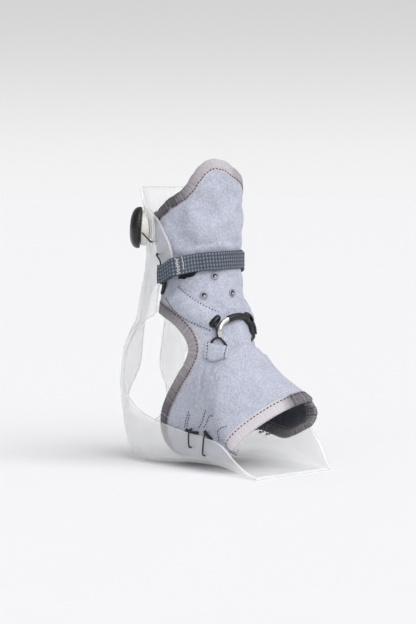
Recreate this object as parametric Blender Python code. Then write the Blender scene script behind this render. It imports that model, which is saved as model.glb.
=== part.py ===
"""Foot drop brace: clear ankle-foot shell, padded wrap, lace dial, strap and trims.

Origin on the floor below the middle of the brace, +X to the toes, +Z up, and the side
with the dial at -Y. The model is built in metres. Tables of sections hold percentages of
REACH (along X), HALF_WIDTH (along Y) and HEIGHT (along Z), counted from the back of the
cuff, so every piece follows those three sizes. ORIGIN is the brace's middle in them.
"""
import math

import bmesh
import bpy
from mathutils import Vector

REACH = 0.156
HALF_WIDTH = 0.040
HEIGHT = 0.230
ORIGIN = (42.45, -8.41)

CLEARANCE = 0.00035
SHELL_WALL = 0.0025
WRAP_WALL = 0.0034
BINDING_WIDTH = 0.0086
BINDING_PROUD = 0.00045
PATCH_THICK = 0.0014

WEB_THICK = 0.0016
WEB_HEIGHT = 0.015
HOOK_THICK = 0.0009
HOOK_HEIGHT = 0.011
HOOK_TURN = 16.0

LACE_RADIUS = 0.00065
END_LACE_RADIUS = 0.0011
CORD_RADIUS = 0.00065
HOLE_RADIUS = 0.0012

DIAL_TURN = 47.0
DIAL_TILT = 4.0
DIAL_RADIUS = 0.0173
DIAL_HEIGHT = 0.0094
DIAL_BASE_RADIUS = 0.0148
DIAL_BASE_HEIGHT = 0.0034
DIAL_PIN_RADIUS = 0.004
DIAL_PIN_HEIGHT = 0.0036

EYELET_RADIUS = 0.0031
EYELET_BORE = 0.0018
EYELET_RIM = 0.0006

ARCH_RADIUS = 0.0017
ARCH_FOOT = 6.46
ARCH_RISE = 0.72
ARCH_NEAR = 30.0
ARCH_FAR = -32.0
ARCH_STEPS = 16
COVER_WALL = 0.0011

SHELL_KEYS = ("back_x", "back_z", "edge_x", "edge_z", "half", "corner", "far_x", "far_z")
SHELL_ROWS = (
    (-4.5, 100.0, 0.5, 100.0, 101.2, 75.0),
    (-2.2, 94.0, 9.0, 94.0, 100.7, 77.5),
    (-0.6, 88.5, 21.0, 88.5, 100.5, 78.8),
    (0.0, 82.7, 27.6, 82.7, 100.5, 80.0),
    (0.0, 78.3, 31.4, 78.3, 100.5, 80.0),
    (0.0, 74.3, 32.3, 74.3, 100.5, 80.0),
    (-1.3, 69.9, 27.4, 69.9, 100.0, 80.0),
    (-3.5, 65.0, 22.0, 64.8, 99.0, 80.0),
    (-6.0, 60.2, 19.4, 59.5, 97.5, 80.0),
    (-8.1, 55.3, 17.4, 54.6, 95.0, 77.5),
    (-9.7, 51.5, 7.5, 51.2, 92.5, 70.0),
    (-11.0, 47.5, -0.5, 47.4, 91.2, 50.0),
    (-12.4, 42.0, -6.4, 41.8, 91.2, 27.5),
    (-13.7, 36.0, -10.2, 36.0, 91.2, 22.5),
    (-15.4, 30.0, -11.1, 30.5, 91.2, 25.0),
    (-16.3, 24.0, -8.0, 24.8, 91.6, 34.0),
    (-16.2, 17.0, 3.0, 19.0, 92.5, 45.0),
    (-14.0, 9.7, 15.5, 16.4, 94.5, 50.0),
    (-9.8, 4.0, 25.6, 15.0, 96.5, 50.0),
    (-2.4, 0.7, 34.0, 14.0, 98.0, 50.0),
    (7.7, 0.0, 42.0, 13.2, 98.8, 47.5),
    (23.1, 0.6, 51.0, 12.6, 99.5, 45.0),
    (38.5, 1.5, 60.0, 11.8, 100.0, 42.5),
    (52.6, 1.9, 68.5, 10.6, 101.0, 40.0, 66.7, 15.5),
    (64.7, 1.8, 74.0, 8.6, 102.0, 37.5, 75.5, 17.0),
    (75.6, 1.2, 79.5, 6.0, 103.5, 27.5, 81.5, 17.0),
    (85.0, 0.6, 86.3, 3.0, 104.5, 17.5, 87.2, 12.4),
    (92.5, 0.2, 92.8, 0.9, 105.0, 8.0, 92.8, 7.4),
    (97.5, 0.0, 97.7, 0.5, 105.0, 5.0, 98.1, 0.7),
)
SHELL_STEPS = 2
SHELL_COLUMNS = 9
WINDOW_HALF = (
    (65.5, 0.0), (64.9, 15.0), (62.8, 26.0), (59.5, 30.0), (50.5, 30.0), (43.5, 29.3),
    (37.5, 28.2), (33.0, 31.5), (29.5, 39.5), (25.8, 50.5), (21.5, 57.0), (17.0, 50.0),
    (13.6, 30.0), (12.4, 0.0),
)

RING_KEYS = ("front_x", "front_y", "front_z", "back_x", "back_y", "back_z",
             "near_x", "near_y", "near_z", "far_x", "far_y", "far_z", "square")
RINGS = (
    (49.1, 0.0, 113.3, 2.0, 0.0, 113.3, 24.9, -93.5, 113.3, 24.9, 95.0, 113.3, 2.0),
    (49.2, 0.0, 94.7, 2.4, 0.0, 94.7, 25.1, -92.5, 94.7, 25.1, 94.0, 94.7, 2.0),
    (49.3, 0.0, 82.7, 3.2, 0.0, 82.7, 25.9, -90.0, 82.7, 25.9, 90.5, 82.7, 2.0),
    (49.3, 0.0, 72.1, 6.2, 0.0, 72.1, 27.7, -83.5, 72.1, 27.7, 83.5, 72.1, 2.0),
    (50.6, 0.0, 62.8, 6.7, 0.0, 62.8, 29.0, -84.0, 62.8, 29.0, 84.0, 62.8, 2.0),
    (52.8, 0.0, 56.4, 4.9, 0.0, 53.1, 30.4, -90.0, 54.9, 30.4, 90.0, 54.9, 2.1),
    (56.4, -2.5, 52.0, -4.0, 0.0, 27.0, 34.3, -87.5, 44.2, 34.9, 87.5, 44.7, 3.2),
    (60.9, -7.5, 45.4, 17.0, 0.0, 5.6, 43.6, -86.5, 26.6, 44.9, 86.5, 29.0, 4.0),
    (66.7, -22.5, 42.6, 50.0, 5.0, 4.5, 56.4, -86.5, 20.4, 62.8, 85.0, 27.2, 4.0),
    (73.1, -37.5, 32.6, 76.9, 10.0, 8.2, 64.7, -87.0, 14.2, 82.7, 76.0, 26.8, 3.0),
    (90.0, -8.0, 21.6, 94.0, 10.0, 12.4, 75.5, -89.0, 8.0, 97.4, 66.0, 23.6, 3.0),
)
WRAP_COLUMNS = 30
WRAP_STATIONS = (2.3, 2.7, 3.2, 3.7, 4.2, 4.7, 5.1, 5.45, 5.8, 6.15, 6.5, 6.85, 7.2, 7.6, 8.0, 8.4, 8.8)
PEAK_TURN = 20.0
TOP_EDGE = (
    (-180.0, 92.6), (-130.0, 90.6), (-92.0, 90.3), (-77.0, 92.8), (-59.0, 95.8), (-45.0, 97.8),
    (-36.0, 100.2), (-28.0, 103.7), (-19.0, 106.9), (-9.0, 108.8), (0.0, 109.4), (15.0, 108.7),
    (31.0, 106.3), (52.0, 104.0), (67.0, 102.0), (90.0, 98.0), (125.0, 94.6), (180.0, 92.6),
)
HEEL_OPENING = (
    (-19.2, 54.3), (12.8, 54.4), (23.0, 53.2), (29.7, 51.5), (35.2, 48.9), (39.4, 45.8),
    (41.4, 42.2), (39.5, 38.5), (35.2, 34.7), (30.8, 31.0), (27.0, 27.6), (22.8, 23.5),
    (19.7, 19.6), (17.8, 15.1), (17.8, 9.5), (21.5, 5.0), (25.5, 0.0), (24.0, -7.1), (-19.2, -7.1),
)
SOLE_OPENING = (
    (37.0, -4.0), (37.5, 2.5), (42.0, 9.8), (49.0, 12.6), (58.0, 11.7), (67.5, 10.7), (78.0, 10.6),
    (86.0, 12.0), (95.0, 15.6), (109.0, 20.0), (109.0, -4.0),
)
SOLE_NEAR = -82.0

STRAP_LEVELS = (
    (-90.0, 70.5), (-60.0, 74.0), (0.0, 74.0), (30.0, 73.7), (48.0, 73.2), (61.0, 71.8),
    (68.0, 70.4), (80.0, 69.2), (90.0, 68.8),
)
STRAP_LEAVES = 48.0
LOOP_BACK = 24.8
LOOP_FRONT = 36.4
STRAP_TAIL = 23.0

DIAL_LEVEL = 85.2
DIAL_ALONG = 6.5
LACE_HOLES = ((17.0, 80.4), (22.1, 75.9))
NEAR_CORDS = (("rear", (47.6, 8.2), (45.6, 13.9)), ("front", (58.6, 6.1), (57.4, 13.1)))
FAR_CORDS = (("rear", (48.7, 10.8), (47.2, 13.9)), ("front", (53.8, 10.3), (52.8, 13.4)))
SLEEVE = ((3.8, 90.0), (4.5, 112.0), (5.96, 46.0), (5.16, 24.0))
TAB = ((6.4, 52.0), (6.8, 25.0), (7.75, 31.0), (6.74, 60.0))
EYELETS = (("upper", STRAP_LEAVES - 24.0, 68.4), ("near", 41.0, 61.5), ("far", -3.0, 62.2))

CLEAR = ("clear_polypropylene", (0.90, 0.92, 0.93), 0.25, 0.0)
JERSEY = ("grey_heather_jersey", (0.44, 0.46, 0.55), 0.9, 0.0)
TAPE = ("taupe_binding_tape", (0.30, 0.27, 0.28), 0.8, 0.0)
WEBBING = ("slate_webbing", (0.13, 0.17, 0.21), 0.7, 0.0)
BLACK = ("black_nylon", (0.015, 0.015, 0.017), 0.45, 0.0)
CREAM = ("cream_acetal", (0.78, 0.75, 0.68), 0.4, 0.0)
STEEL = ("polished_steel", (0.62, 0.61, 0.58), 0.2, 1.0)


def place(x, y, z):
    """Point from percentages of the three overall sizes."""
    return Vector((x / 100 * REACH, y / 100 * HALF_WIDTH, z / 100 * HEIGHT))


def catmull(p0, p1, p2, p3, t):
    """Value at t between p1 and p2 on the curve through four values."""
    return 0.5 * (2 * p1 + (p2 - p0) * t + (2 * p0 - 5 * p1 + 4 * p2 - p3) * t * t
                  + (3 * p1 - p0 - 3 * p2 + p3) * t ** 3)


def row_at(rows, keys, q):
    """Named values of a table at the fractional row number q."""
    q = min(max(q, 0.0), len(rows) - 1.0)
    i = min(int(q), len(rows) - 2)
    picks = [rows[min(max(i + k, 0), len(rows) - 1)] for k in (-1, 0, 1, 2)]
    return {key: catmull(*(row[c] for row in picks), q - i) for c, key in enumerate(keys)}


def value_at(pairs, x):
    """Value of a two-column table whose first column rises, eased between its rows."""
    if x <= pairs[0][0]:
        return pairs[0][1]
    for a, b in zip(pairs, pairs[1:]):
        if x <= b[0]:
            t = (x - a[0]) / (b[0] - a[0])
            t = 0.5 * t + 0.5 * t * t * (3 - 2 * t)
            return a[1] + (b[1] - a[1]) * t
    return pairs[-1][1]


def smooth_loop(points, steps):
    """Closed curve through plane points, with the given steps between neighbours."""
    out = []
    for i in range(len(points)):
        four = [points[(i + k) % len(points)] for k in (-1, 0, 1, 2)]
        for s in range(steps):
            out.append(tuple(catmull(*(p[c] for p in four), s / steps) for c in range(2)))
    return out


def smooth_path(points, steps):
    """Open curve through space points."""
    out = []
    last = len(points) - 1
    for i in range(last):
        four = [points[min(max(i + k, 0), last)] for k in (-1, 0, 1, 2)]
        for s in range(steps):
            out.append(Vector([catmull(*(p[c] for p in four), s / steps) for c in range(3)]))
    out.append(Vector(points[-1]))
    return out


def grown_loop(loop, width):
    """Plane loop moved outwards by a width."""
    count = len(loop)
    area = sum(loop[i - 1][0] * loop[i][1] - loop[i][0] * loop[i - 1][1] for i in range(count))
    turn = width if area > 0 else -width
    out = []
    for i in range(count):
        (ax, az), (bx, bz) = loop[i - 1], loop[(i + 1) % count]
        long = math.hypot(bx - ax, bz - az)
        out.append((loop[i][0] + turn * (bz - az) / long, loop[i][1] - turn * (bx - ax) / long))
    return out


def finish(obj, look):
    """Give an object its material and smooth shading with sharp edges kept."""
    name, colour, rough, metal = look
    material = bpy.data.materials.get(name)
    if material is None:
        material = bpy.data.materials.new(name)
        material.use_nodes = True
        shader = material.node_tree.nodes["Principled BSDF"]
        shader.inputs["Base Color"].default_value = (*colour, 1.0)
        shader.inputs["Roughness"].default_value = rough
        shader.inputs["Metallic"].default_value = metal
        if look is CLEAR:
            shader.inputs["Transmission Weight"].default_value = 0.8
    obj.data.materials.append(material)
    if obj.type == "MESH":
        obj.data.shade_smooth()
        obj.data.set_sharp_from_angle(angle=math.radians(35))
    return obj


def link(name, data, look, parent):
    """Object for some data, linked, parented and finished."""
    obj = bpy.data.objects.new(name, data)
    bpy.context.scene.collection.objects.link(obj)
    obj.parent = parent
    return finish(obj, look) if look else obj


def mesh_from(work, name):
    """Mesh data from a bmesh, which is freed."""
    mesh = bpy.data.meshes.new(name)
    work.to_mesh(mesh)
    work.free()
    return mesh


def sheet_mesh(name, grid, closed, inside):
    """Open mesh over a grid of points, its faces turned away from the inside point."""
    work = bmesh.new()
    rows = [[work.verts.new(p) for p in line] for line in grid]
    wide = len(grid[0]) if closed else len(grid[0]) - 1
    for low, high in zip(rows, rows[1:]):
        for j in range(wide):
            n = (j + 1) % len(low)
            work.faces.new((low[j], low[n], high[n], high[j]))
    work.normal_update()
    work.faces.ensure_lookup_table()
    face = work.faces[len(work.faces) // 2]
    if (face.calc_center_median() - Vector(inside)).dot(face.normal) < 0:
        bmesh.ops.reverse_faces(work, faces=work.faces)
    return mesh_from(work, name)


def thicken(obj, thick, outside):
    """Solidify modifier: total thickness, and how much of it stands outside the surface."""
    mod = obj.modifiers.new("wall", "SOLIDIFY")
    mod.thickness = thick
    mod.offset = 2 * outside / thick - 1
    mod.use_even_offset = True
    mod.use_quality_normals = True
    return obj


def carve(obj, cutter, operation="DIFFERENCE"):
    """Boolean modifier with a hidden cutter."""
    cutter.hide_render = True
    cutter.display_type = "WIRE"
    mod = obj.modifiers.new(cutter.name, "BOOLEAN")
    mod.operation = operation
    mod.solver = "EXACT"
    mod.object = cutter


def prism(name, loop, start, length, axis, parent):
    """Plane loop of (u, z) points extruded along X or Y."""
    work = bmesh.new()
    if axis == "X":
        verts = [work.verts.new((start, u, z)) for u, z in loop]
        way = Vector((length, 0, 0))
    else:
        verts = [work.verts.new((u, start, z)) for u, z in loop]
        way = Vector((0, length, 0))
    face = work.faces.new(verts)
    made = bmesh.ops.extrude_face_region(work, geom=[face], use_keep_orig=True)
    moved = [g for g in made["geom"] if isinstance(g, bmesh.types.BMVert)]
    bmesh.ops.translate(work, verts=moved, vec=way)
    bmesh.ops.recalc_face_normals(work, faces=work.faces)
    return link(name, mesh_from(work, name), None, parent)


def turned(name, profile, sides):
    """Mesh spun round local Z from (radius, height) points; both ends lie on the axis or join."""
    work = bmesh.new()
    verts = [work.verts.new((r, 0, h)) for r, h in profile]
    edges = [work.edges.new(pair) for pair in zip(verts, verts[1:])]
    if profile[0][0] > 0:
        edges.append(work.edges.new((verts[-1], verts[0])))
    bmesh.ops.spin(work, geom=verts + edges, cent=(0, 0, 0), axis=(0, 0, 1),
                   angle=2 * math.pi, steps=sides, use_merge=True)
    bmesh.ops.remove_doubles(work, verts=work.verts, dist=1e-7)
    bmesh.ops.recalc_face_normals(work, faces=work.faces)
    return mesh_from(work, name)


def stand(obj, at, axis):
    """Put an object's local Z along an axis, its origin at a point."""
    obj.location = at
    obj.rotation_euler = Vector(axis).to_track_quat("Z", "Y").to_euler()
    return obj


def bar(name, path, radius, look, parent, resolution=2):
    """Round bar or cord along a path: a curve with a bevel and filled caps."""
    curve = bpy.data.curves.new(name, "CURVE")
    curve.dimensions = "3D"
    curve.bevel_depth = radius
    curve.bevel_resolution = resolution
    curve.use_fill_caps = True
    spline = curve.splines.new("POLY")
    spline.points.add(len(path) - 1)
    for point, p in zip(spline.points, path):
        point.co = (*p, 1.0)
    return link(name, curve, look, parent)


def shell_table():
    """Shell rows with the far trim edge filled in where it mirrors the near one."""
    return [row if len(row) == len(SHELL_KEYS) else row + row[2:4] for row in SHELL_ROWS]


def shell_point(row, far, t):
    """Outer surface point of the gutter, t from the spine (0) to the trim edge (1)."""
    back = place(row["back_x"], 0.0, row["back_z"])
    key = "far" if far else "edge"
    rise = place(row[key + "_x"], 0.0, row[key + "_z"]) - back
    deep = rise.length
    rise.normalize()
    corner = row["corner"] / 100 * HALF_WIDTH
    flat = row["half"] / 100 * HALF_WIDTH - corner
    turn = math.acos(max(1 - deep / corner, 0.0))
    arc = corner * turn
    s = t * (flat + arc + max(deep - corner, 0.0))
    if s <= flat:
        across, up = s, 0.0
    elif s <= flat + arc:
        w = (s - flat) / corner
        across, up = flat + corner * math.sin(w), corner * (1 - math.cos(w))
    else:
        across, up = flat + corner, corner + s - flat - arc
    point = back + rise * up
    point.y = across if far else -across
    return point


def shell_grid(first, last):
    """Grid of outer surface points between two table rows."""
    table = shell_table()
    grid = []
    for k in range((last - first) * SHELL_STEPS + 1):
        row = row_at(table, SHELL_KEYS, first + k / SHELL_STEPS)
        near = [shell_point(row, False, c / SHELL_COLUMNS) for c in range(SHELL_COLUMNS, 0, -1)]
        far = [shell_point(row, True, c / SHELL_COLUMNS) for c in range(SHELL_COLUMNS + 1)]
        grid.append(near + far)
    return grid


def on_shell(x, z, far=False):
    """Outer surface point of a side wall nearest to a place seen from the side."""
    table = shell_table()
    want = place(x, 0.0, z)
    spot, miss = (0.0, 0.5), 1.0
    centre, span = (len(table) / 2, 0.6), (len(table) / 2, 0.4)
    for _ in range(5):
        for i in range(-14, 15):
            row = row_at(table, SHELL_KEYS, centre[0] + span[0] * i / 14)
            for j in range(-8, 9):
                t = min(max(centre[1] + span[1] * j / 8, 0.2), 1.0)
                p = shell_point(row, far, t)
                off = math.hypot(p.x - want.x, p.z - want.z)
                if off < miss:
                    miss, spot, best = off, (centre[0] + span[0] * i / 14, t), p
        centre, span = spot, (span[0] / 7, span[1] / 4)
    return best


def ring_point(q, v):
    """Outer surface point of the wrap; v in degrees from the front to the near side."""
    ring = row_at(RINGS, RING_KEYS, q)
    front, back, near, far = (place(ring[s + "_x"], ring[s + "_y"], ring[s + "_z"])
                              for s in ("front", "back", "near", "far"))
    centre = (near + far) / 2
    w = math.radians(v)
    if math.cos(w) > 0:
        return centre + (front - centre) * math.cos(w) + (near - far) / 2 * math.sin(w)
    power = 2 / ring["square"]
    side = math.copysign(abs(math.sin(w)) ** power, math.sin(w))
    return centre + (back - centre) * abs(math.cos(w)) ** power + (near - far) / 2 * side


def wrap_normal(q, v):
    """Outward normal of the wrap surface."""
    low = min(q + 0.04, len(RINGS) - 1.0)
    along = ring_point(low, v) - ring_point(low - 0.08, v)
    normal = along.cross(ring_point(q, v + 2.0) - ring_point(q, v - 2.0)).normalized()
    middle = (ring_point(q, 90.0) + ring_point(q, -90.0)) / 2
    return normal if normal.dot(ring_point(q, v) - middle) > 0 else -normal


def on_wrap(q, v, lift):
    """Point at a height off the wrap's outer face."""
    return ring_point(q, v) + wrap_normal(q, v) * lift


def q_at_height(z, v):
    """Fractional ring number where the leg tube is at a height."""
    low, high = 0.0, 6.0
    for _ in range(28):
        mid = (low + high) / 2
        if ring_point(mid, v).z > z:
            low = mid
        else:
            high = mid
    return (low + high) / 2


def q_from_toe(v, back_off):
    """Fractional ring number at a distance back from the toe edge, along the surface."""
    q, run, step = len(RINGS) - 1.0, 0.0, 0.02
    here = ring_point(q, v)
    while True:
        there = ring_point(q - step, v)
        long = (there - here).length
        if run + long >= back_off:
            return q - step * (back_off - run) / long
        run, q, here = run + long, q - step, there


def top_height(v):
    """Height of the wrap's top edge; its table counts from the peak, near side negative."""
    turn = (PEAK_TURN - v + 180.0) % 360.0 - 180.0
    return value_at(TOP_EDGE, turn) / 100 * HEIGHT


def wrap_grid(lines):
    """Rows of surface points round the wrap; each line gives the ring number at an angle."""
    angles = [360.0 * k / WRAP_COLUMNS for k in range(WRAP_COLUMNS)]
    return [[ring_point(line(v), v) for v in angles] for line in lines]


def build_shell(brace):
    """Clear gutter-shaped shell with the heel window and the cord holes."""
    grid = shell_grid(0, len(SHELL_ROWS) - 1)
    middle = place(20.0, 0.0, 30.0)
    shell = link("shell", sheet_mesh("shell", grid, False, middle), CLEAR, brace)
    thicken(shell, SHELL_WALL, 0.0)
    right = [(y / 100 * HALF_WIDTH, z / 100 * HEIGHT) for z, y in WINDOW_HALF]
    left = [(-y, z) for y, z in right[-2:0:-1]]
    behind = place(-40.0, 0.0, 0.0).x
    carve(shell, prism("window", smooth_loop(right + left, 3), behind, 0.36 * REACH, "X", brace))
    spots = [(LACE_HOLES[0], False), (LACE_HOLES[1], False)]
    spots += [(cord[1], far) for cords, far in ((NEAR_CORDS, False), (FAR_CORDS, True)) for cord in cords]
    for number, ((x, z), far) in enumerate(spots):
        at = on_shell(x, z, far)
        deep = 5 * SHELL_WALL
        drill = turned(f"drill_{number}", ((0, 0), (HOLE_RADIUS, 0), (HOLE_RADIUS, deep), (0, deep)), 12)
        drill = link(f"drill_{number}", drill, None, brace)
        side = 1.0 if far else -1.0
        stand(drill, at - Vector((0, side * deep * 0.6, 0)), (0, side, 0))
        carve(shell, drill)


def build_wrap(brace):
    """Padded wrap and its three sewn rims."""
    middle = place(40.0, 0.0, 40.0)
    start = BINDING_WIDTH + 2.2 * CLEARANCE
    first, last = WRAP_STATIONS[0], WRAP_STATIONS[-1]
    lines = [lambda v, s=k / 4: q_at_height(top_height(v) - start, v) * (1 - s) + first * s
             for k in range(4)]
    lines += [lambda v, q=q: q for q in WRAP_STATIONS]
    lines += [lambda v, s=k / 3: last * (1 - s) + q_from_toe(v, start) * s for k in (1, 2, 3)]
    grid = wrap_grid(lines)
    opening = [(x / 100 * REACH, z / 100 * HEIGHT) for x, z in smooth_loop(HEEL_OPENING, 4)]
    deep = 4 * HALF_WIDTH
    wrap = link("wrap", sheet_mesh("wrap", grid, True, middle), JERSEY, brace)
    thicken(wrap, WRAP_WALL, 0.0)
    body = grown_loop(opening, BINDING_WIDTH + CLEARANCE)
    carve(wrap, prism("wrap_opening", body, -deep / 2, deep, "Y", brace))
    sole = [(x / 100 * REACH, z / 100 * HEIGHT) for x, z in SOLE_OPENING]
    sole = prism("sole_opening", sole, SOLE_NEAR / 100 * HALF_WIDTH, deep, "Y", brace)
    carve(wrap, sole)
    proud = WRAP_WALL + 2 * BINDING_PROUD
    heel = link("binding_heel", sheet_mesh("binding_heel", grid, True, middle), TAPE, brace)
    thicken(heel, proud, BINDING_PROUD)
    rim = grown_loop(opening, BINDING_WIDTH)
    carve(heel, prism("heel_rim", rim, -deep / 2, deep, "Y", brace), "INTERSECT")
    carve(heel, prism("heel_hole", opening, -deep * 0.6, deep * 1.2, "Y", brace))
    shares = (0.0, 0.12, 0.3, 0.65, 1.0)
    top = [lambda v, d=d: q_at_height(top_height(v) - d * BINDING_WIDTH, v) for d in shares]
    toe = [lambda v, d=d: q_from_toe(v, d * BINDING_WIDTH) for d in shares]
    for name, rows, inside in (("binding_top", top, place(25.0, 0.0, 98.0)),
                               ("binding_toe", toe, place(88.0, -10.0, 18.0))):
        rim = link(name, sheet_mesh(name, wrap_grid(rows), True, inside), TAPE, brace)
        thicken(rim, proud, BINDING_PROUD)
        if rows is toe:
            carve(rim, sole)


def strap_level(v):
    """Mid height of the strap at an angle round the leg."""
    return value_at(STRAP_LEVELS, v) / 100 * HEIGHT


def strap_sides():
    """Distances of the strap's loop layers from the middle plane: inner and outer."""
    wall = -on_shell(28.0, 71.5).y
    inner = wall + CLEARANCE + WEB_THICK / 2
    return inner, inner + WEB_THICK + 2 * LACE_RADIUS + 2 * CLEARANCE


def strap_stations():
    """Plan path of the strap as (x, y, angle): near loop, front of the leg, far end."""
    inner, outer = strap_sides()
    back, front = LOOP_BACK / 100 * REACH, LOOP_FRONT / 100 * REACH
    bend = (outer - inner) / 2
    mid = (inner + outer) / 2
    stations = [(front + 1.0 * bend, -(inner - 2.2 * bend), 62.0), (front - 1.4 * bend, -inner, 64.0)]
    stations += [(back + 2.0 * bend, -inner, 80.0)]
    for k in range(7):
        w = math.pi * k / 6
        stations.append((back + bend - bend * math.sin(w), -(mid - bend * math.cos(w)), 88.0))
    stations += [(back + 3.0 * bend, -outer, 82.0), (front - 2.6 * bend, -(outer - 0.2 * bend), 66.0),
                 (front + 1.0 * bend, -(outer - 1.3 * bend), 60.0)]
    v = STRAP_LEAVES
    while v >= -STRAP_LEAVES:
        z = strap_level(v)
        over = min(max(v / 20.0, 0.0), 1.0) * (HOOK_THICK + CLEARANCE)
        p = on_wrap(q_at_height(z, v), v, 1.6 * CLEARANCE + WEB_THICK / 2 + over)
        stations.append((p.x, p.y, v))
        v -= STRAP_LEAVES / 6
    tail = inner + CLEARANCE
    stations += [(front + 0.6 * bend, tail - 2.4 * bend, -60.0), (front - 3.0 * bend, tail, -68.0),
                 ((STRAP_TAIL + 5.0) / 100 * REACH, tail, -84.0), (STRAP_TAIL / 100 * REACH, tail, -90.0)]
    return stations


def web(name, stations, thick, tall, drop, look, parent):
    """Strip of webbing on edge along a plan path: a ribbon with a Solidify."""
    grid = [[Vector((x, y, strap_level(v) - drop + tall * (s - 0.5))) for s in (0.0, 0.5, 1.0)]
            for x, y, v in stations]
    return thicken(link(name, sheet_mesh(name, grid, False, (0, 0, 0)), look, parent), thick, thick / 2)


def build_strap(brace):
    """Shin strap with its near loop, and the dark hook strip under it."""
    web("strap", strap_stations(), WEB_THICK, WEB_HEIGHT, 0.0, WEBBING, brace)
    drop = 0.35 * WEB_HEIGHT
    hook = []
    for k in range(7):
        v = STRAP_LEAVES - 2.0 - HOOK_TURN * k / 6
        p = on_wrap(q_at_height(strap_level(v) - drop, v), v, 1.6 * CLEARANCE + HOOK_THICK / 2)
        hook.append((p.x, p.y, v))
    web("strap_hook", hook, HOOK_THICK, HOOK_HEIGHT, drop, BLACK, brace)


def build_dial(brace):
    """Winding dial: cream base shaped to the shell, and the black cap that turns on it."""
    turn = math.radians(DIAL_TURN)
    axis = Vector((-math.cos(turn), -math.sin(turn), math.tan(math.radians(DIAL_TILT)))).normalized()
    at = on_shell(DIAL_ALONG, DIAL_LEVEL)
    r, h, pin = DIAL_BASE_RADIUS, DIAL_BASE_HEIGHT, DIAL_PIN_RADIUS
    top = h + DIAL_PIN_HEIGHT
    base = turned("dial_base", ((0, -0.4 * r), (r, -0.4 * r), (r, 0.8 * h), (0.95 * r, h), (pin, h),
                                (pin, top), (0, top)), 28)
    base = stand(link("dial_base", base, CREAM, brace), at, axis)
    grid = shell_grid(0, 6)
    under = sheet_mesh("under_base", grid, False, place(20.0, 0.0, 85.0))
    under = thicken(link("under_base", under, None, brace), 4 * SHELL_WALL, 2 * CLEARANCE)
    carve(base, under)
    bore, big, tall = pin + CLEARANCE, DIAL_RADIUS, DIAL_HEIGHT
    deep = DIAL_PIN_HEIGHT + CLEARANCE
    cap = turned("dial_knob", (
        (0, deep), (bore, deep), (bore, 0), (0.95 * big, 0), (big, 0.1 * tall), (big, 0.28 * tall),
        (0.965 * big, 0.47 * tall), (0.86 * big, 0.68 * tall), (0.66 * big, 0.86 * tall),
        (0.4 * big, 0.96 * tall), (0, tall)), 32)
    cap = link("dial_knob", cap, BLACK, brace)
    stand(cap, at + axis * (h + CLEARANCE), axis)
    return at, axis


def build_laces(brace, dial_at, dial_axis):
    """Lace from the dial to the near sleeve, and the two ends at the instep."""
    first, second = (on_shell(x, z) for x, z in LACE_HOLES)
    out, inn = Vector((0, -(LACE_RADIUS + 2 * CLEARANCE), 0)), Vector((0, SHELL_WALL, 0))
    clear = LACE_RADIUS + CLEARANCE
    sideways = dial_axis.cross(Vector((0, 0, 1))).normalized()
    if sideways.x < 0:
        sideways = -sideways
    start = (dial_at + dial_axis * (0.75 * DIAL_BASE_HEIGHT)
             + sideways * (DIAL_BASE_RADIUS + clear) - Vector((0, 0, 0.25 * DIAL_BASE_RADIUS)))
    inner, outer = strap_sides()
    mid = -(inner + outer) / 2
    x = LOOP_BACK / 100 * REACH + 1.6 * WEB_THICK
    high = strap_level(84.0) + WEB_HEIGHT / 2
    low = strap_level(84.0) - WEB_HEIGHT / 2
    inside = SHELL_WALL + 1.8 * clear
    through = Vector((0, 1.2 * SHELL_WALL, 0))
    under = [first + Vector((0, inside, 0)), second + Vector((0, inside, 0))]
    path = [start, start.lerp(first + out * 3, 0.5), first + out * 1.6, first + inn * 0.5,
            first + through, under[0] + (under[1] - under[0]) * 0.15, under[0].lerp(under[1], 0.5),
            under[0] + (under[1] - under[0]) * 0.85, second + through, second + inn * 0.5,
            second + out * 1.6,
            Vector((x - 0.001, mid, high + 0.003)), Vector((x, mid, high)), Vector((x, mid, low)),
            Vector((x + 0.0006, mid, low - 0.002)),
            on_wrap(4.15, 84.0, 0.0045), on_wrap(4.3, 92.0, 0.0045), on_wrap(4.36, 104.0, 0.0035)]
    bar("lace_upper", smooth_path(path, 2), LACE_RADIUS, BLACK, brace)
    near = ((5.62, ARCH_NEAR + 4.0), (6.36, ARCH_NEAR + 7.0))
    far = ((5.8, ARCH_FAR - 7.0), (6.38, ARCH_FAR - 10.0))
    for name, ends in (("near", near), ("far", far)):
        a, b = (on_wrap(q, v, END_LACE_RADIUS + PATCH_THICK) for q, v in ends)
        middle = (a + b) / 2 + Vector((END_LACE_RADIUS, 0, 0))
        bar("lace_" + name, smooth_path([a, middle, b], 4), END_LACE_RADIUS, BLACK, brace)


def patch(name, corners, long, wide, look, brace):
    """Fabric piece on the wrap between four (ring, angle) corners given in order."""
    (a, b, c, d), grid = corners, []
    for i in range(long + 1):
        s, line = i / long, []
        for j in range(wide + 1):
            t = j / wide
            q = (a[0] * (1 - s) + d[0] * s) * (1 - t) + (b[0] * (1 - s) + c[0] * s) * t
            v = (a[1] * (1 - s) + d[1] * s) * (1 - t) + (b[1] * (1 - s) + c[1] * s) * t
            line.append(on_wrap(q, v, BINDING_PROUD + 1.2 * CLEARANCE))
        grid.append(line)
    obj = link(name, sheet_mesh(name, grid, False, place(30.0, 0.0, 50.0)), look, brace)
    return thicken(obj, PATCH_THICK, PATCH_THICK)


def build_patches(brace):
    """Lace sleeves and tabs sewn on the wrap."""
    for name, turn in (("near", 1.0), ("far", -1.0)):
        sleeve = [(q, v * turn) for q, v in SLEEVE]
        tab = [(q, v * turn) for q, v in TAB]
        patch("sleeve_" + name, sleeve, 12, 4, JERSEY, brace)
        patch("tab_" + name, tab, 5, 4, JERSEY, brace)


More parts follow.
